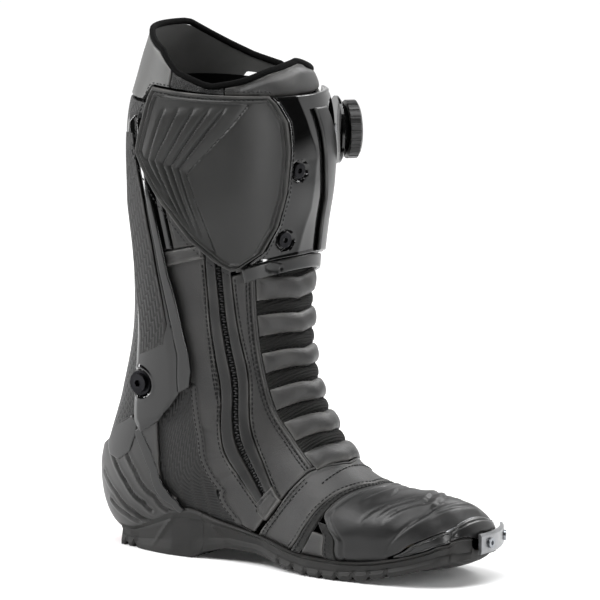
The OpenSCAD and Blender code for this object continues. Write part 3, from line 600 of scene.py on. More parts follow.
# The sole between two places: an upper sheet on the foot, and a lower one made of the wall, a rounded
# corner and the tread; the wall's line runs from the tread's edge up to the skin.
def soleRun(name, start, stop, nodes):
    table = np.array(sole["tread"], float)
    s = np.linspace(start, stop, max(130, int((stop - start) * 34)))[:, None]
    q = np.concatenate([np.linspace(-1, -.62, 15)[:-1], np.linspace(-.62, .62, 45),
        np.linspace(.62, 1, 15)[1:]])[None]
    s, q = np.broadcast_arrays(s, q)
    side = np.where(q < 0, -1.0, 1.0)
    flat = np.clip(np.abs(q) / .62, 0, 1)
    rise = np.clip((np.abs(q) - .62) / .38, 0, 1)
    edgeAngle = readAt(lines["soleEdge"], s)
    a = 180 + side * (180 - edgeAngle) * flat
    p, n = place(s, a, .4), outward(s, a)
    x = p[..., 0] - boot["shiftX"]
    half = np.where(side < 0, np.interp(x, table[:, 0], table[:, 1]), np.interp(x, table[:, 0], table[:, 2]))
    ground = np.interp(x, table[:, 0], table[:, 3])
    centre = boot["shiftY"]
    wide = np.abs(p[..., 1] - centre)
    reach = np.maximum(half * flat, wide + 1.2 * flat)
    corner = sole["corner"]
    inCorner = np.clip((flat - (1 - corner / np.maximum(half, 8))) * np.maximum(half, 8) / corner, 0, 1)
    round_ = corner * (1 - np.sqrt(1 - inCorner ** 2))
    z = np.minimum(p[..., 2] - 2.5, ground) + round_ * (rise == 0) + corner * (rise > 0)
    z = z + (np.maximum(p[..., 2] - .3, z + .6) - z) * rise
    reach = reach + (wide + 1.3 - reach) * rise ** 1.6
    plan = n * np.array([1, 1, 0])
    plan /= np.maximum(np.linalg.norm(plan, axis=-1, keepdims=True), 1e-6)
    wall = (rise > 0) & (rise < 1)
    shape = np.where(wall, bell(rise - .93, .9, .06) + bell(rise - .8, -.8, .035) + bell(rise - .3, -.5, .05)
        - 1.2 * np.sin(np.pi * np.clip(rise / .8, 0, 1)), 0)
    ridge = bell(x + 38 + (z - 34) * 1.1, 1.3, 1.6) + bell(x + 52 - (z - 30) * .9, 1.1, 1.6)
    shape = shape + ridge * np.clip(np.sin(np.pi * rise), 0, 1) * (rise > 0)
    lower = np.stack([p[..., 0], centre + side * reach, z], -1) + shape[..., None] * plan
    low = np.zeros_like(x)
    for at in sole["heelNotches"] + sole["foreNotches"]:
        low = np.maximum(low, np.exp(-((x - at) / 1.5) ** 4))
    outside = np.clip((flat - .55) / .15, 0, 1) * np.clip(1 - rise / .35, 0, 1)
    lower[..., 2] += sole["notch"] * low * outside
    tread = (rise == 0) & (flat < .5)
    lower[..., 2] += np.where(tread, .9 * (np.sin(x * 1.05) > .3), 0)
    upper = place(s, 180 + side * (180 - edgeAngle) * np.abs(q), .4)
    uv = np.stack([q * 50, x], -1)
    piece = closedSheet(name, lower, upper, uv, 32)
    return finished(piece, "soleRubber", nodes, "foot")


soleRun("sole", .05, 6.97, ["outsole"])
soleRun("heelBase", 6.98, 8.05, ["heel_block"])
print("sole made")

# Toe and foot.
foot = {
    "toeRear": [[-150, 4.1], [-105, 4.15], [-88, 4.2], [-64, 4.5], [-35, 4.4], [0, 4.25], [35, 4.6], [64, 4.76],
        [88, 4.17], [105, 4.12], [150, 4.05]],
    "bandRear": [[-150, 4.5], [-105, 4.6], [-88, 4.65], [-64, 4.8], [-35, 4.62], [0, 4.42], [35, 4.8],
        [64, 4.98], [88, 5.05], [105, 5.1], [150, 5.25]],
    "slit": [[-102, 2.9], [-82, 2.2], [-58, 1.25], [-30, .9], [0, .82], [30, .9], [58, 1.25], [82, 2.2],
        [102, 2.9]],
    "baseLow": [[-100, 2.6], [-92, 2.05], [-89, 1.6], [-82, 1.05], [-72, .62], [-56, 0], [56, 0], [72, .62],
        [82, 1.05], [89, 1.6], [92, 2.05], [100, 2.6]],
    "around": np.arange(-150, 151, 6.0),
    # folds of the toe cover, each from the medial side over the top: (place, angle) nodes
    "folds": [[(2.6, -16), (2.77, 6), (3.2, 36), (3.47, 50), (3.6, 62)],
        [(2.3, -20), (2.43, 1), (2.77, 25), (3.09, 42), (3.3, 56)],
        [(1.85, -22), (1.97, 1), (2.35, 18), (2.83, 43), (3.05, 58)],
        [(1.9, -14), (2.0, 12), (2.21, 44.5), (2.69, 79), (2.95, 98)],
        [(3.5, -14), (3.7, 4), (3.87, 20), (3.97, 34)], [(1.5, -24), (1.6, 0), (1.8, 22), (2.0, 40)]],
    "forkAngle": 60,
    "legWide": .28,
}
a = foot["around"]


def toeRelief(g):
    height = np.zeros_like(g["s"])
    for fold in foot["folds"]:
        for nodes in (fold, mirroredNodes(fold)) if fold[0][0] > 1.9 else (fold,):
            distance, side = fromLine(g["points"], nodes)
            soft = np.clip((nodes[-1][1] * np.sign(nodes[-1][1]) + 6 - np.abs(g["a"])) / 22, 0, 1)
            height += soft * np.where(side > 0, bell(distance, .85, 4.2),
                bell(distance, .85, 1.2) - bell(distance - 2.0, .5, 1.1))
    rear = readAt(foot["toeRear"], g["a"])
    fromRear = (rear - g["s"]) * 20
    height += bell(fromRear - 2.2, .6, .8) - bell(fromRear - 4.2, .4, .6)
    return height + .16 * unevenness(g["points"], 20, 4)


rows = np.stack([a, readAt(foot["slit"], a) + .03, readAt(foot["toeRear"], a)], -1)
piece = panel("toeCover", rows, -2.2, [[-105, .3], [-80, .8], [80, .8], [105, .3]], along=False, cell=1.3,
    edge=.8, relief=toeRelief)
finished(piece, "satinRubber", ["toe_cover"], "foot")

rows = np.stack([a, np.where(a > foot["forkAngle"], readAt(foot["bandRear"], a) - .2,
    readAt(foot["toeRear"], a) + .02), readAt(foot["bandRear"], a)], -1)
piece = panel("suedeBand", rows, -2.2, .45, along=False, cell=1.3, edge=.5,
    relief=lambda g: .1 * unevenness(g["points"], 7, 8))
finished(piece, "nappedSuede", ["suede_band"], "foot")
fork = np.arange(foot["forkAngle"] + 14.0, 151, 6)
rows = np.stack([fork, readAt(foot["toeRear"], fork) + .02, readAt(foot["toeRear"], fork) + foot["legWide"]],
    -1)
piece = panel("suedeFork", rows, -2.2, .45, along=False, cell=1.3, edge=.5)
finished(piece, "nappedSuede", [], "foot")
fork = np.arange(86.0, 151, 6)
rows = np.stack([fork, readAt(foot["toeRear"], fork) + foot["legWide"] + .02,
    readAt(foot["bandRear"], fork) - .22], -1)
piece = panel("forkGusset", rows, -2.2, .1, along=False, cell=1.3, edge=.5)
finished(piece, "fullGrainLeather", ["vamp_gusset"], "foot")

vampRows = [[-150, 4.53, 5.93], [-105, 4.63, 5.93], [-88, 4.68, 5.93], [-64, 4.83, 5.93], [-41, 4.7, 5.93],
    [0, 4.45, 5.5], [41, 4.86, 5.93], [64, 5.01, 5.93], [88, 5.08, 5.88], [105, 5.13, 5.9], [150, 5.28, 5.93]]
piece = panel("vamp", vampRows, along=False, cell=1.3, edge=.8,
    relief=lambda g: .18 * unevenness(g["points"], 24, 3) + bell(g["edge"] - 1.6, .35, 1.2))
finished(piece, "fullGrainLeather", ["vamp"], "foot")

rows = np.stack([np.arange(-100, 101, 5.0)] * 3, -1)
rows[:, 1] = readAt(foot["baseLow"], rows[:, 0])
rows[:, 2] = np.maximum(rows[:, 1] + .05, readAt(foot["slit"], rows[:, 0]) - .04)
piece = panel("toeSliderBase", rows, -2.2, 1.6, along=False, cell=1.1, edge=.6,
    relief=lambda g: bell(g["edge"] - 2.5, -.5, .5))
finished(piece, "satinNylon", ["toe_slider_base"], "foot")

# the light welt in the slit between the cover and the base
points, normal, _, _ = lineOn(nodesAround(lambda t: readAt(foot["slit"], t) - .02, -60, 61), .5)
piece = rope("toeWelt", points, normal, .8, 8)
finished(piece, "milledAluminium", [], "foot")

piece = stitches("footStitches", [
    (nodesAround(lambda t: readAt(foot["bandRear"], t) - .05, -120, 121), .5, .2),
    (nodesAround(lambda t: readAt(foot["bandRear"], t) + .06, -120, 121), .4, -1.2),
    (nodesAround(lambda t: readAt(foot["toeRear"], t) + .05, -100, 59), .5, 0),
    (nodesAround(lambda t: readAt(foot["toeRear"], t) + .23, 80, 125), .5, 0),
    (nodesAround(lambda t: 5.88, 48, 120), .35, 1.0),
    (nodesAround(lambda t: 5.88, 48, 120), .35, 3.6),
    (nodesAround(lambda t: 5.44, -40, 41, 8.0), .35, 1.0),
    (nodesAround(lambda t: 5.88, -120, -47), .35, 1.0),
    (nodesAlong(lambda s: seamAngle(s) - 1.2, 6.4, 9.3, 30), 1.0, -1.5),
    (nodesAlong(lambda s: seamAngle(s) - 1.2, 6.4, 9.3, 30), 1.0, 1.5),
    (nodesAlong(lambda s: 1.2 - seamAngle(s), 6.4, 9.3, 30), 1.0, 1.5),
], 3.1)
finished(piece, "bondedThread", [], "foot")

# Heel and ankle panels.
heel = {
    "cup": [[7.3, 108, 252], [7.6, 99.5, 260.5], [8.53, 96, 264], [9.3, 95.5, 264.5]],
    "grooves": [[(9.41, 125), (9.07, 117.5), (8.53, 109.5), (7.92, 104), (7.35, 112)],
        [(9.28, 132), (8.93, 126), (8.48, 117.5), (7.97, 112), (7.75, 114)],
        [(8.85, 140), (8.43, 128.5), (7.97, 122), (7.63, 125)], [(8.4, 137), (8.05, 129.5), (7.79, 128.5)]],
    "strip": [[7.3, 106, 111], [7.55, 100.2, 104.5], [7.87, 97.5, 102.5], [8.35, 97.2, 101], [8.67, 99, 103.5],
        [9.15, 104.5, 109]],
    "flange": [[8.86, 112, 121], [9.05, 108, 131], [9.25, 107, 135], [9.42, 112, 130]],
}


def cupRelief(g):
    height = np.zeros_like(g["s"])
    for groove in heel["grooves"]:
        for nodes in (groove, [(s, 360 - t) for s, t in groove]):
            distance = fromLine(g["points"], nodes)[0]
            height += bell(distance, -1.1, 1.1) + bell(distance - 2.4, .5, 1.1)
    p = g["points"]
    pocket = (p[..., 0] < -120) & (np.abs(p[..., 1] - (boot["shiftY"] - 3)) < 13.4) & (p[...,
        2] > 11.6) & (p[..., 2] < 20.4)
    return height - 2.6 * pocket


piece = panel("heelCup", heel["cup"], .4, 2.6, cell=1.15, edge=.9, relief=cupRelief)
finished(piece, "cupPlastic", ["heel_cup"], "foot")
for name, top in (("Strip", 3.3), ("Flange", 3.4)):
    rows = heel[name.lower()]
    for label, sideRows in (("Medial", rows), ("Lateral", [[r[0], 360 - r[2], 360 - r[1]] for r in rows])):
        piece = panel("heel" + name + label, sideRows, 1.6, top, cell=1.0, edge=.8 if name == "Strip" else .9)
        finished(piece, "polishedPolycarbonate", [], "foot")

ankleRows = [[s, seamAngle(s) + .5, np.interp(s, [7.45, 8.28, 9.05], [150, 130, 112.5])]
    for s in np.linspace(6.05, 9.38, 40)]
for label, rows in (("medial", ankleRows), ("lateral", mirrored(ankleRows))):
    piece = panel("anklePanel" + label.title(), rows, cell=1.4, edge=.6)
    finished(piece, "twillComposite", ["ankle_panel_" + label], "foot")
print("foot made")

# Linings and footbed.
lining = {"low": -4.2, "high": -2.6}
# the linings' knit finish carries painted shade of the boot's inside
piece = panel("shaftLining", [[8.9, -179.5, 179.5], [14.4, -179.5, 179.5]], lining["low"], lining["high"],
    cell=2.4, edge=.4, relief=lambda g: .25 * unevenness(g["points"], 40, 11) - .25)
finished(piece, "knitLining", ["shaft_lining"], "ankle")
piece = panel("footLining", [[1.1, -138, 138], [8.1, -138, 138], [8.85, -179, 179]], -6.4, -4.8, cell=2.6,
    edge=.4)
finished(piece, "knitLining", ["foot_lining"], "foot")
piece = panel("footbed", [[1, 152, 208], [3, 138, 222], [6.2, 140, 220], [8.2, 142, 218]],
    [[1, -8.6], [6.2, -9], [7, -17.5], [8.2, -17.5]], [[1, -4.7], [6.2, -4.7], [7, -13.4], [8.2, -13.4]],
    cell=2.4, edge=1.2)
finished(piece, "closedCellFoam", ["footbed"], "foot")

# The soft leg.
leg = {
    "ribs": [[10.27, 10.8], [9.45, 9.93], [8.6, 9.06], [7.68, 8.2], [6.7, 7.3], [5.6, 6.25]],
    "gussets": [[9.95, 10.25], [9.08, 9.43], [8.22, 8.58], [7.32, 7.66], [6.27, 6.68]],
    "slant": .006,
    "creases": [[(8.5, 77), (8.35, 71), (8.5, 66)], [(7.3, 84), (7.2, 78), (7.25, 72)], [(7.9, 80), (7.7, 73)]],
}


# Gussets swell between the ribs: a half circle across each, flat at both ends.
def gussetRelief(g):
    height = np.zeros_like(g["s"])
    s = g["s"] - leg["slant"] * np.abs(g["a"])
    for low, high in leg["gussets"]:
        inside = np.clip(1 - ((s - (low + high) / 2) / ((high - low) / 2)) ** 2, 0, 1)
        height += 2.3 * np.sqrt(inside) * np.clip(1 - (np.abs(g["a"]) / 36) ** 6, 0, 1)
    return height


piece = panel("stretchPanel", [[5.97, -36, 36], [11.18, -36, 36]], cell=1.2, edge=.4, relief=gussetRelief)
finished(piece, "stretchRib", ["stretch_panel"], "ankle")


# A rib is a stuffed roll: a half circle across, sewn down with small puckers at its long edges.
def ribRelief(g):
    across = 1 - (2 * g["u"] - 1) ** 2
    ends = np.clip(1 - np.abs(2 * g["v"] - 1) ** 7, 0, 1)
    pucker = .22 * np.sin(g["across"] * 2 * np.pi / 6.4) * np.exp(-np.minimum(g["u"], 1 - g["u"]) * 9)
    return 3.5 * np.sqrt(np.clip(across, 0, 1)) * ends + pucker + .16 * unevenness(g["points"], 15, 5)


for k, (low, high) in enumerate(leg["ribs"]):
    piece = panel(f"flexRib{k + 1}", [[low, -35, 35], [high, -35, 35]], .4, .9, cell=1.15, edge=.3,
        slant=leg["slant"], relief=ribRelief)
    finished(piece, "fullGrainLeather", [f"flex_rib_{k + 1}"], "ankle")

rows = rowsBetween(5.97, 11.18, lambda s: s * 0 + 36.5, lambda s: zipAngle(s) - 8.4)
piece = panel("frontLeather", rows, cell=1.2, edge=.8, relief=lambda g: .15 * unevenness(g["points"], 26, 6)
    + bell(g["v"] * 0 + g["across"] - 1.2, 1.1, 1.1) - bell(g["across"] - 3.0, .3, .7))
finished(piece, "fullGrainLeather", ["front_leather"], "ankle")


def sideRelief(g):
    height = .22 * unevenness(g["points"], 30, 7)
    for crease in leg["creases"]:
        distance = fromLine(g["points"], crease)[0]
        height += bell(distance, -.35, 2.0) + bell(distance - 3.4, .25, 2.2)
    return height


rows = rowsBetween(6.0, 14.42, lambda s: zipAngle(s) + 9,
    lambda s: np.maximum(zipAngle(s) + 10, seamAngle(s) - .9), 40)
piece = panel("sideLeatherMedial", rows, cell=1.4, edge=.8, relief=sideRelief)
finished(piece, "fullGrainLeather", ["side_leather_medial"], "ankle")
rows = rowsBetween(5.97, 14.42, lambda s: -seamAngle(s) + .9, lambda s: np.where(s < 11.15, -36.5, -51.0), 80)
piece = panel("sideLeatherLateral", rows, cell=1.5, edge=.8,
    relief=lambda g: .25 * unevenness(g["points"], 30, 9))
finished(piece, "fullGrainLeather", ["side_leather_lateral"], "ankle")
piece = panel("upperFrontPanel", [[11.22, -50, 49], [14.42, -50, 49]], cell=1.8, edge=.7)
finished(piece, "fullGrainLeather", ["upper_front_panel"])
piece = panel("rearPanel", [[9.42, 114, 246], [10.5, 108.5, 251.5], [14.2, 108.5, 251.5]], cell=1.6, edge=.7)
finished(piece, "twillComposite", ["rear_panel"], "ankle")

# Zip.
zipper = {
    "low": 6.1,
    "top": 14.3,
    "wide": 8,
    "guardInner": 1.9,
    "pitch": 1.7,       # coil
    "slider": 3.0, "pull": 2.1, "bridge": .7,   # half widths
}


def besideZip(start, stop, low, high):
    return rowsBetween(start, stop, lambda s: zipAngle(s) + low, lambda s: zipAngle(s) + high, 40)


zipLine = nodesAlong(zipAngle, zipper["low"] + .05, zipper["top"] - .05, 40)
piece = panel("zipTape", besideZip(zipper["low"], zipper["top"], -zipper["wide"], zipper["wide"]), -2.2, -1.7,
    cell=1.3, edge=.15)
finished(piece, "wovenTape", ["zip_tape"], "ankle")
for label, low, high in (("Front", -zipper["wide"], -zipper["guardInner"]),
        ("Rear", zipper["guardInner"], zipper["wide"])):
    piece = panel("zipGuard" + label, besideZip(zipper["low"], zipper["top"], low, high), -1.3, 1.5, cell=.9,
        edge=1.1, relief=lambda g: .12 * unevenness(g["points"], 22, 12))
    finished(piece, "satinRubber", ["zip_guard_" + label.lower()], "ankle")


# The coil: flattened loops laid across the tape, every second one a little to the other side.
def coil(name):
    line, normal, tangent, side = lineOn(zipLine, -.55, 0, .4)
    along = walk(line, 0)
    at = np.arange(.8, along[-1] - .8, zipper["pitch"])
    pick = np.searchsorted(along, at).clip(0, len(along) - 1)
    turn = np.radians(np.arange(6) * 60)
    shapes = np.array([[x, np.cos(t) * r * .62, np.sin(t) * r * .55] for x,
        r in ((-1.35, .45), (-.7, 1), (.7, 1), (1.35, .45)) for t in turn])
    offset = .45 * np.where(np.arange(len(pick)) % 2, 1, -1)
    points = ((line[pick] + offset[:, None] * side[pick])[:, None] + shapes[None, :, :1] * side[pick][:, None]
        + shapes[None, :, 1:2] * tangent[pick][:, None] + shapes[None, :, 2:] * normal[pick][:, None])
    k = np.arange(6)
    quads = np.concatenate([np.stack([k + r, k + r + 6, (k + 1) % 6 + r + 6, (k + 1) % 6 + r], -1)
        for r in (0, 6, 12)])
    shift = (np.arange(len(pick)) * 24)[:, None, None]
    caps = np.stack([k, k[::-1] + 18])
    return meshFrom(name, points.reshape(-1, 3), [(quads[None] + shift).reshape(-1, 4),
        (caps[None] + shift).reshape(-1, 6)], None, 60)


# a small leather tab closes the lower end of the zip
ends = besideZip(5.93, 6.32, -8.8, 9.4)
piece = panel("zipEndTab", ends, -1.6, 1.7, cell=.8, edge=.8, relief=lambda g: -bell(g["edge"] - 2.0, .7, .6))
finished(piece, "fullGrainLeather", [], "foot")
piece = coil("zipCoil")
finished(piece, "coilNylon", ["zip_teeth"], "ankle")

slideTop, slideEnd = place(13.9, 60.1, 2.9), place(11.6, 61.5, 2.9)
way = (slideEnd - slideTop) / np.linalg.norm(slideEnd - slideTop)
facing = outward(13.9, 60.1)
# name, start and stop along the zip, rings, lift, fall along it, half width, sides, flatness, rings in
# the rounded tip
for name, start, stop, count, lift, fall, half, sides, flat, taper in (("zipSlider", -6.8, 6.8, 16, 0, 0,
        zipper["slider"], 16, .32, 4), ("zipPull", 2.0, 19.0, 18, .9, .02, zipper["pull"], 14, .24, 3),
        ("zipBridge", -3.5, 3.5, 10, .9, 0, zipper["bridge"], 8, .8, 2)):
    span = np.linspace(start, stop, count)[:, None]
    arch = .5 * np.cos(span / stop * np.pi / 2) if name == "zipBridge" else 0
    piece = rope(name, slideTop + way * span + facing * (lift - fall * span + arch),
        np.broadcast_to(facing, (count, 3)), half, sides, flat, taper)
    finished(piece, "blackenedZinc", ["zip_slider"] if name == "zipSlider" else [], "zip_runner")
print("leg's soft pieces made")

# Top edge.
collar = {"fold": [(14.62, -70), (14.78, -40), (14.86, -5), (14.74, 20), (14.58, 45)]}


def collarRelief(g):
    inside = np.clip(1 - (2 * g["u"] - 1) ** 4, 0, 1) * np.clip(1 - (2 * g["v"] - 1) ** 2, 0, 1) ** .5
    distance = fromLine(g["points"], collar["fold"])[0]
    return 2.2 * inside + bell(distance, -1.3, 2.0) + .35 * unevenness(g["points"], 26, 21)


t = np.arange(-84, 57, 7.0)
piece = panel("frontCollar", np.stack([t, t * 0 + 14.45, np.maximum(14.5, rim(t))], -1), -6, -.8, along=False,
    cell=1.3, edge=1.0, relief=collarRelief)
finished(piece, "fullGrainLeather", ["front_collar"])
t = np.arange(94, 277, 7.0)
piece = panel("rearCollar", np.stack([t, np.where((t > 112) & (t < 248), 14.24, 14.45), rim(t)], -1),
    along=False, cell=1.5, edge=.7, relief=lambda g: .3 * unevenness(g["points"], 34, 22))
finished(piece, "smoothLeather", ["rear_collar"])
t = np.arange(57, 94, 6.0)
piece = panel("hookPatch", np.stack([t, t * 0 + 14.45, rim(t)], -1), -3.6, -1, along=False, cell=1.3, edge=.7,
    relief=lambda g: .35 * unevenness(g["points"], 4, 23))
finished(piece, "loopPile", ["hook_patch"])
# the collar binding takes the lining's knit finish, darkened as painted shade
nodes = nodesAround(lambda t: rim(t) + .04, -85, 275.1)
points, normal, _, _ = lineOn(nodes, -1.6, 0, 1.5)
piece = rope("collarBinding", points, normal, 2.1, 14, .95, 3)
finished(piece, "knitLining", ["collar_binding"])

# Hard pieces of the leg.
armour = {
    "shin": [[11.34, -61, 44], [11.6, -62, 30.5], [12.12, -62, 21.5], [12.85, -62, 17], [13.58, -62, 16],
        [14.03, -60, 17.5], [14.3, -56, 23], [14.42, -50, 27.5]],
    "skirt": [[11.0, -60, 44], [11.32, -61, 46]],
    "screws": [[13.2, 8.5], [11.75, 15.5], [13.2, -56], [11.75, -50]],
    "hole": [(11.14, 21), (11.2, 26)],
    "ridges": [[(14.35, 8), (13.4, -3), (12.4, -2), (11.4, 6)],
        [(14.3, -36), (13.2, -44), (12.0, -36), (11.4, -30)]],
    "strip": [[11.4, -30, -14], [12.6, -34, -16], [13.4, -30, -10], [14.2, -14, -2]],
}


def shinRelief(g):
    height = bell(g["edge"] - 1.6, .5, 1.0)
    for ridge in armour["ridges"]:
        distance = fromLine(g["points"], ridge)[0]
        height += 1.5 * np.exp(-distance / 9) - .4
    for s, a in armour["screws"]:
        distance = np.linalg.norm(g["points"] - skin(s, a), axis=-1)
        height -= 2.3 * np.clip((7.0 - distance) / .9, 0, 1)
    return height - .3


piece = panel("shinPlate", armour["shin"], 3.2, 5.8, cell=1.0, edge=1.1, relief=shinRelief)
finished(piece, "polishedPolycarbonate", ["shin_plate"])


def skirtRelief(g):
    distance = fromLine(g["points"], armour["hole"])[0]
    return -1.9 * np.clip((3.6 - distance) / .8, 0, 1)


piece = panel("shinSkirt", armour["skirt"], 3.2, 5.5, cell=.9, edge=.9, relief=skirtRelief)
finished(piece, "satinNylon", [])
piece = panel("shinStrip", armour["strip"], 6.2, 8.2, cell=1.1, edge=1.2)
finished(piece, "satinNylon", ["shin_strip"])

# Calf flap.
flap = {
    "rows": [[11.34, 49.5, 52.5], [11.6, 33, 62], [12.12, 24, 77], [12.85, 19.5, 92], [13.58, 18.5, 108],
        [14.03, 20, 103], [14.3, 25.5, 101], [14.42, 30, 99]],
    # the steps' lines, from the rear one to the long facet: top, corner and bottom
    "first": [(14.21, 89), (13.47, 98.5), (12.77, 84.5)],
    "second": [(14.24, 81), (13.47, 94), (12.45, 80)],
    "fifth": [(14.29, 54), (13.36, 81), (12.13, 68.5)],
    "facet": [(14.36, 40), (13.28, 77), (11.78, 61.5)],
}
f1, f2, f5, f6 = (np.array(flap[k]) for k in ("first", "second", "fifth", "facet"))
flapLines = [f1, f2, f2 + (f5 - f2) / 3, f2 + (f5 - f2) * 2 / 3, f5]


def flapRelief(g):
    height = 1.3 * np.clip((5.4 - g["edge"]) / .9, 0, 1) - bell(g["edge"] - 2.8, 1.1, .75) - 1.1
    s = g["s"]
    for line in flapLines:
        distance, side = fromLine(g["points"], line)
        fade = np.clip((line[0][0] - .02 - s) / .12, 0, 1) * np.clip((s - line[2][0]) / .3, 0, 1)
        step = np.where(side > 0, np.exp(-distance / 3.4) * (1 - np.exp(-distance / .7)) * 1.3,
            -bell(distance - .9, 1.0, 1.0))
        height += 1.25 * step * fade * np.clip((g["edge"] - 5.4) / 1.2, 0, 1)
    distance, side = fromLine(g["points"], f6)
    height += np.where(side > 0, 0, -.9 * np.exp(-distance / 2.0)) * (g["edge"] > 5.6) + bell(distance, -.45,
        .5)
    return height


piece = panel("calfFlap", flap["rows"], 6.2, 8.8, cell=.62, edge=.9, relief=flapRelief)
finished(piece, "mattRubber", ["calf_flap"], "flap")
around = [(s, low) for s, low, high in flap["rows"]] + [(s, high) for s, low, high in flap["rows"][::-1]]
piece = stitches("flapStitches", [(around, 8.25, -2.75), ([(14.42, 30), (14.42, 99)], 8.25, 2.75)], 3.0, 2.1,
    .42)
finished(piece, "bondedThread", [], "flap")

# Calf frames and brace arms.
brace = {
    "bar": [[11.7, 70, 97], [11.95, 71, 98.5]],
    "post": [[11.98, 90, 98.5], [12.85, 94, 101.5], [13.9, 98, 107.5]],
    "triangle": [[11.98, 74, 89], [12.3, 80, 90.5], [12.7, 88.5, 92.5]],
    "arm": [[9.05, 94, 104], [9.3, 85, 109], [10, 85.5, 114], [11.62, 97, 122], [12.85, 104, 126],
        [14.05, 113, 122]],
    "inset": [[10.35, 93, 110], [10.7, 92, 112.5], [11.62, 98.5, 119], [12.85, 105.5, 123], [13.8, 113, 120.5]],
    "frame": [[9.33, 78, 84], [9.6, 77, 84.6], [10.03, 79, 84.8], [11.62, 91.5, 96.3], [12.85, 99, 103.4],
        [14, 108.5, 112.3]],
    "pivot": (-88.0, 114.0),
}


def armRelief(g):
    p = g["points"]
    distance = np.hypot(p[..., 0] - brace["pivot"][0], p[..., 2] - brace["pivot"][1])
    hole = -3 * np.clip((8.6 - distance) / .5, 0, 1)
    bevel = -1.9 * np.clip(1 - g["edge"] / 5.2, 0, 1)
    return bevel + bell(distance - 10.5, .5, .9) + hole


for label, turn in (("medial", lambda r: r), ("lateral", mirrored)):
    big = label.title()
    piece = panel("calfBar" + big, turn(brace["bar"]), .4, 2.8, cell=1.0, edge=.7,
        relief=lambda g: bell(g["edge"] - 1.3, .7, .6) - .5)
    finished(piece, "fullGrainLeather", ["calf_frame_" + label])
    piece = panel("calfPost" + big, turn(brace["post"]), .4, 3.0, cell=1.0, edge=1.1)
    finished(piece, "polishedPolycarbonate", [])
    piece = panel("calfTriangle" + big, turn(brace["triangle"]), .3, 2.2, cell=1.0, edge=.7,
        relief=lambda g: -bell(g["edge"] - 1.8, .4, .5))
    finished(piece, "mattRubber", [])
    piece = panel("braceArm" + big, turn(brace["arm"]), 3.2, 5.6, cell=.9, edge=.9, relief=armRelief)
    finished(piece, "polishedPolycarbonate", ["brace_arm_" + label])
    piece = panel("braceInset" + big, turn(brace["inset"]), 5.0, 5.9, cell=1.1, edge=.4)
    finished(piece, "twillComposite", [])
    piece = panel("braceFrame" + big, turn(brace["frame"]), 3.2, 5.9, cell=.8, edge=1.1)
    finished(piece, "polishedPolycarbonate", ["brace_frame_" + label])
print("hard pieces made")

# Piping and seam strips.
piping = {"frontRadius": .95, "instepRadius": .85, "stripWide": 5.0}
for label, turn in (("Medial", 1), ("Lateral", -1)):
    points, normal, _, _ = lineOn(nodesAlong(lambda s: 36.3 * turn, 5.98, 11.16, 24), .1, 0, 1.2)
    piece = rope("frontPiping" + label, points, normal, piping["frontRadius"], 10, .9)
    finished(piece, "fullGrainLeather", [], "ankle")
points, normal, _, _ = lineOn([(5.97, 66), (5.97, 41), (5.62, 14), (5.52, 0), (5.62, -14), (5.97, -41),
    (5.97, -66)], .3, 0, 1.2)
piece = rope("instepPiping", points, normal, piping["instepRadius"], 10, .9)
finished(piece, "fullGrainLeather", [], "foot")
strip = nodesAlong(lambda s: seamAngle(s) - 1.2, 6.28, 9.36, 44)
for label, nodes in (("Medial", strip), ("Lateral", mirroredNodes(strip))):
    points, normal, _, _ = lineOn(nodes, .3, 0, 1.2)
    piece = rope("seamStrip" + label, points, normal, piping["stripWide"] / 2, 16, .34)
    finished(piece, "fullGrainLeather", [], "foot")

# Stitching of the leg.
hairpin = [(11.58, 71.5), (10.83, 70), (9.53, 66.5), (8.62, 65), (7.9, 67.5), (7.45, 72)]
frontSeam = nodesAlong(lambda s: 36.5, 6.0, 11.15, 20)
zipFront = nodesAlong(lambda s: zipAngle(s) - 8.4, 6.0, 11.15, 30)
zipRear = nodesAlong(lambda s: zipAngle(s) + 9, 6.15, 11.6, 30)
legLines = [(frontSeam, .3, 2.9), (frontSeam, .3, 4.9), (zipFront, .3, -1.8), (zipRear, .35, 1.8),
    (hairpin, .35, 0), (hairpin, .35, 2.6), (mirroredNodes(frontSeam), .3, -1.8)]
for low, high in leg["ribs"]:
    for edge in (low - .02, high + .02):
        if 6 < edge < 11:
            legLines.append(([(edge + leg["slant"] * abs(t), t) for t in range(-33, 34, 6)], .6, 0))
piece = stitches("legStitches", legLines, 3.0)
finished(piece, "bondedThread", [], "ankle")

# Frame nodes that keep their shape get a finish.
kept = {
    "shank": "turnedSteel", "insole_board": "pressedBoard", "heel_lift": "closedCellFoam",
    "toe_puff": "pressedBoard",
    "heel_counter": "fullGrainLeather", "heel_insert": "redRubber", "pivot_strut_medial": "satinNylon",
    "pivot_strut_lateral": "satinNylon", "pivot_screw_medial": "blackOxideSteel",
    "pivot_screw_lateral": "blackOxideSteel",
    "toe_slider_plate": "milledAluminium", "toe_slider_screws": "turnedSteel", "shin_screws": "blackOxideSteel",
    "pivot_bushes": "blackOxideSteel", "dial_base": "polishedPolycarbonate", "dial_spindle": "turnedSteel",
    "dial_knob": "satinNylon",
}
for node, material in kept.items():
    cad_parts[node].data.materials.clear()
    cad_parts[node].data.materials.append(finish[material])

# Camera, light and floor.
studio = {
    "azimuth": 35.0,
    "elevation": 8.0,
    "distance": 3.0,
    "target": (-.0054, .0087, .1675),
    "lens": 279.0,
    # softboxes: azimuth, elevation, distance, width, height, watts
    "lamps": [(-20, 48, 1.4, .7, .7, 19), (76, 10, 1.2, .10, 1.0, 9), (-62, 10, 1.2, .12, 1.1, 8),
        (165, 40, 1.4, .7, .5, 12), (35, 84, 1.5, 1.1, 1.1, 20)],
}


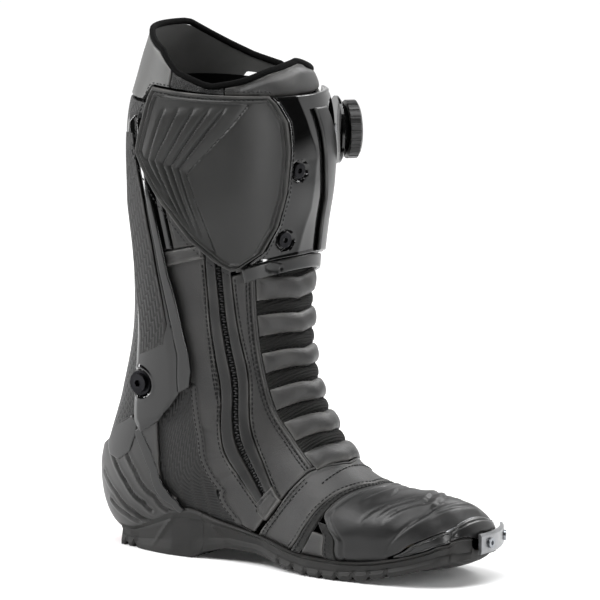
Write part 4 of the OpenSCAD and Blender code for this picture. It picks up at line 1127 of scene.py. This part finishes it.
# A place round the boot at an azimuth and elevation, seen from the target.
def around3d(azimuth, elevation, distance):
    a, e = math.radians(azimuth), math.radians(elevation)
    way = np.array([math.sin(a) * math.cos(e), -math.cos(a) * math.cos(e), math.sin(e)])
    return np.array(studio["target"]) + way * distance, way


def aimed(thing, azimuth, elevation, distance):
    spot, way = around3d(azimuth, elevation, distance)
    thing.location = spot
    thing.rotation_euler = Vector(way).to_track_quat("Z", "Y").to_euler()
    scene.collection.objects.link(thing)
    return thing


camera = aimed(bpy.data.objects.new("camera", bpy.data.cameras.new("camera")), studio["azimuth"],
    studio["elevation"], studio["distance"])
camera.data.lens = studio["lens"]
camera.data.sensor_width = 36.0
camera.data.clip_start = .05
camera.data.clip_end = 30
scene.camera = camera
for k, (azimuth, elevation, distance, width, height, watts) in enumerate(studio["lamps"]):
    lamp = bpy.data.lights.new(f"softbox{k + 1}", "AREA")
    lamp.shape = "RECTANGLE"
    lamp.size, lamp.size_y, lamp.energy = width, height, watts
    aimed(bpy.data.objects.new(lamp.name, lamp), azimuth, elevation, distance)
world = bpy.data.worlds.new("studio")
world.use_nodes = True
world.node_tree.nodes["Background"].inputs[0].default_value = (.93, .94, .96, 1)
world.node_tree.nodes["Background"].inputs[1].default_value = .1
scene.world = world
scene.view_settings.view_transform = "Standard"
scene.view_settings.look = "None"
# a bowl: the floor turns up into a backdrop all round, a flat disc and a quarter circle spun about Z; pale near
# the boot, with painted shade further out and a painted glow on its far side
around = np.radians(np.arange(0, 361, 5.0))
rise = np.linspace(0, np.pi / 2, 14)
reach = np.concatenate([[.001, .5, 1.5, 3.0], 4.5 + 2.0 * np.sin(rise), [6.5]])
high = np.concatenate([[0, 0, 0, 0], 2.0 - 2.0 * np.cos(rise), [6.0]])
grid = np.stack([reach[:, None] * np.cos(around), reach[:, None] * np.sin(around),
    np.broadcast_to(high[:, None], (len(high), len(around)))], -1) * 1000
floor = meshFrom("floor", grid.reshape(-1, 3), [gridFaces(len(reach), len(around))], None)
floor.data.flip_normals()
paper, tree = newFinish("floorPaintedShadeAndGlow")
where = addNode(tree, "TexCoord").outputs["Object"]
faint = addNode(tree, "TexNoise", {"Vector": where, "Scale": 3.0}).outputs["Fac"]
far = addNode(tree, "VectorMath", {0: where}, operation="LENGTH").outputs["Value"]
# painted shade: the floor's colour goes from pale near the boot to dark grey between 0.9 and 2.6 m out, so that
# gloss parts reflect dark surroundings
paintedShadeFar = addNode(tree, "MapRange", {0: far, 1: .9, 2: 2.6}).outputs[0]
dress(paper, tree, ("#f4f4f4", "#4c4c4e", "#f4f4f4"), paintedShadeFar, (.75, .85), faint, .01, {})
# painted glow: the bowl emits light on its far side from the camera, rising from 0.02 to 0.95, to show as a lit
# white backdrop and as rims on gloss parts
split = addNode(tree, "SeparateXYZ", {0: where})
back = addNode(tree, "Math", {0: split.outputs[1], 1: 1.4, 2: 0.0}, operation="MULTIPLY_ADD").outputs[0]
back = addNode(tree, "Math", {0: split.outputs[0], 1: -1.0, 2: back}, operation="MULTIPLY_ADD").outputs[0]
glow = addNode(tree, "MapRange", {0: back, 1: .6, 2: 3.2, 3: .02, 4: .95}).outputs[0]
surface = next(n for n in tree.nodes if n.type == "BSDF_PRINCIPLED")
surface.inputs["Emission Color"].default_value = (1, 1, 1, 1)
tree.links.new(glow, surface.inputs["Emission Strength"])
floor.data.materials.append(paper)
floor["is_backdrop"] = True
print("studio made")

low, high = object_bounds()
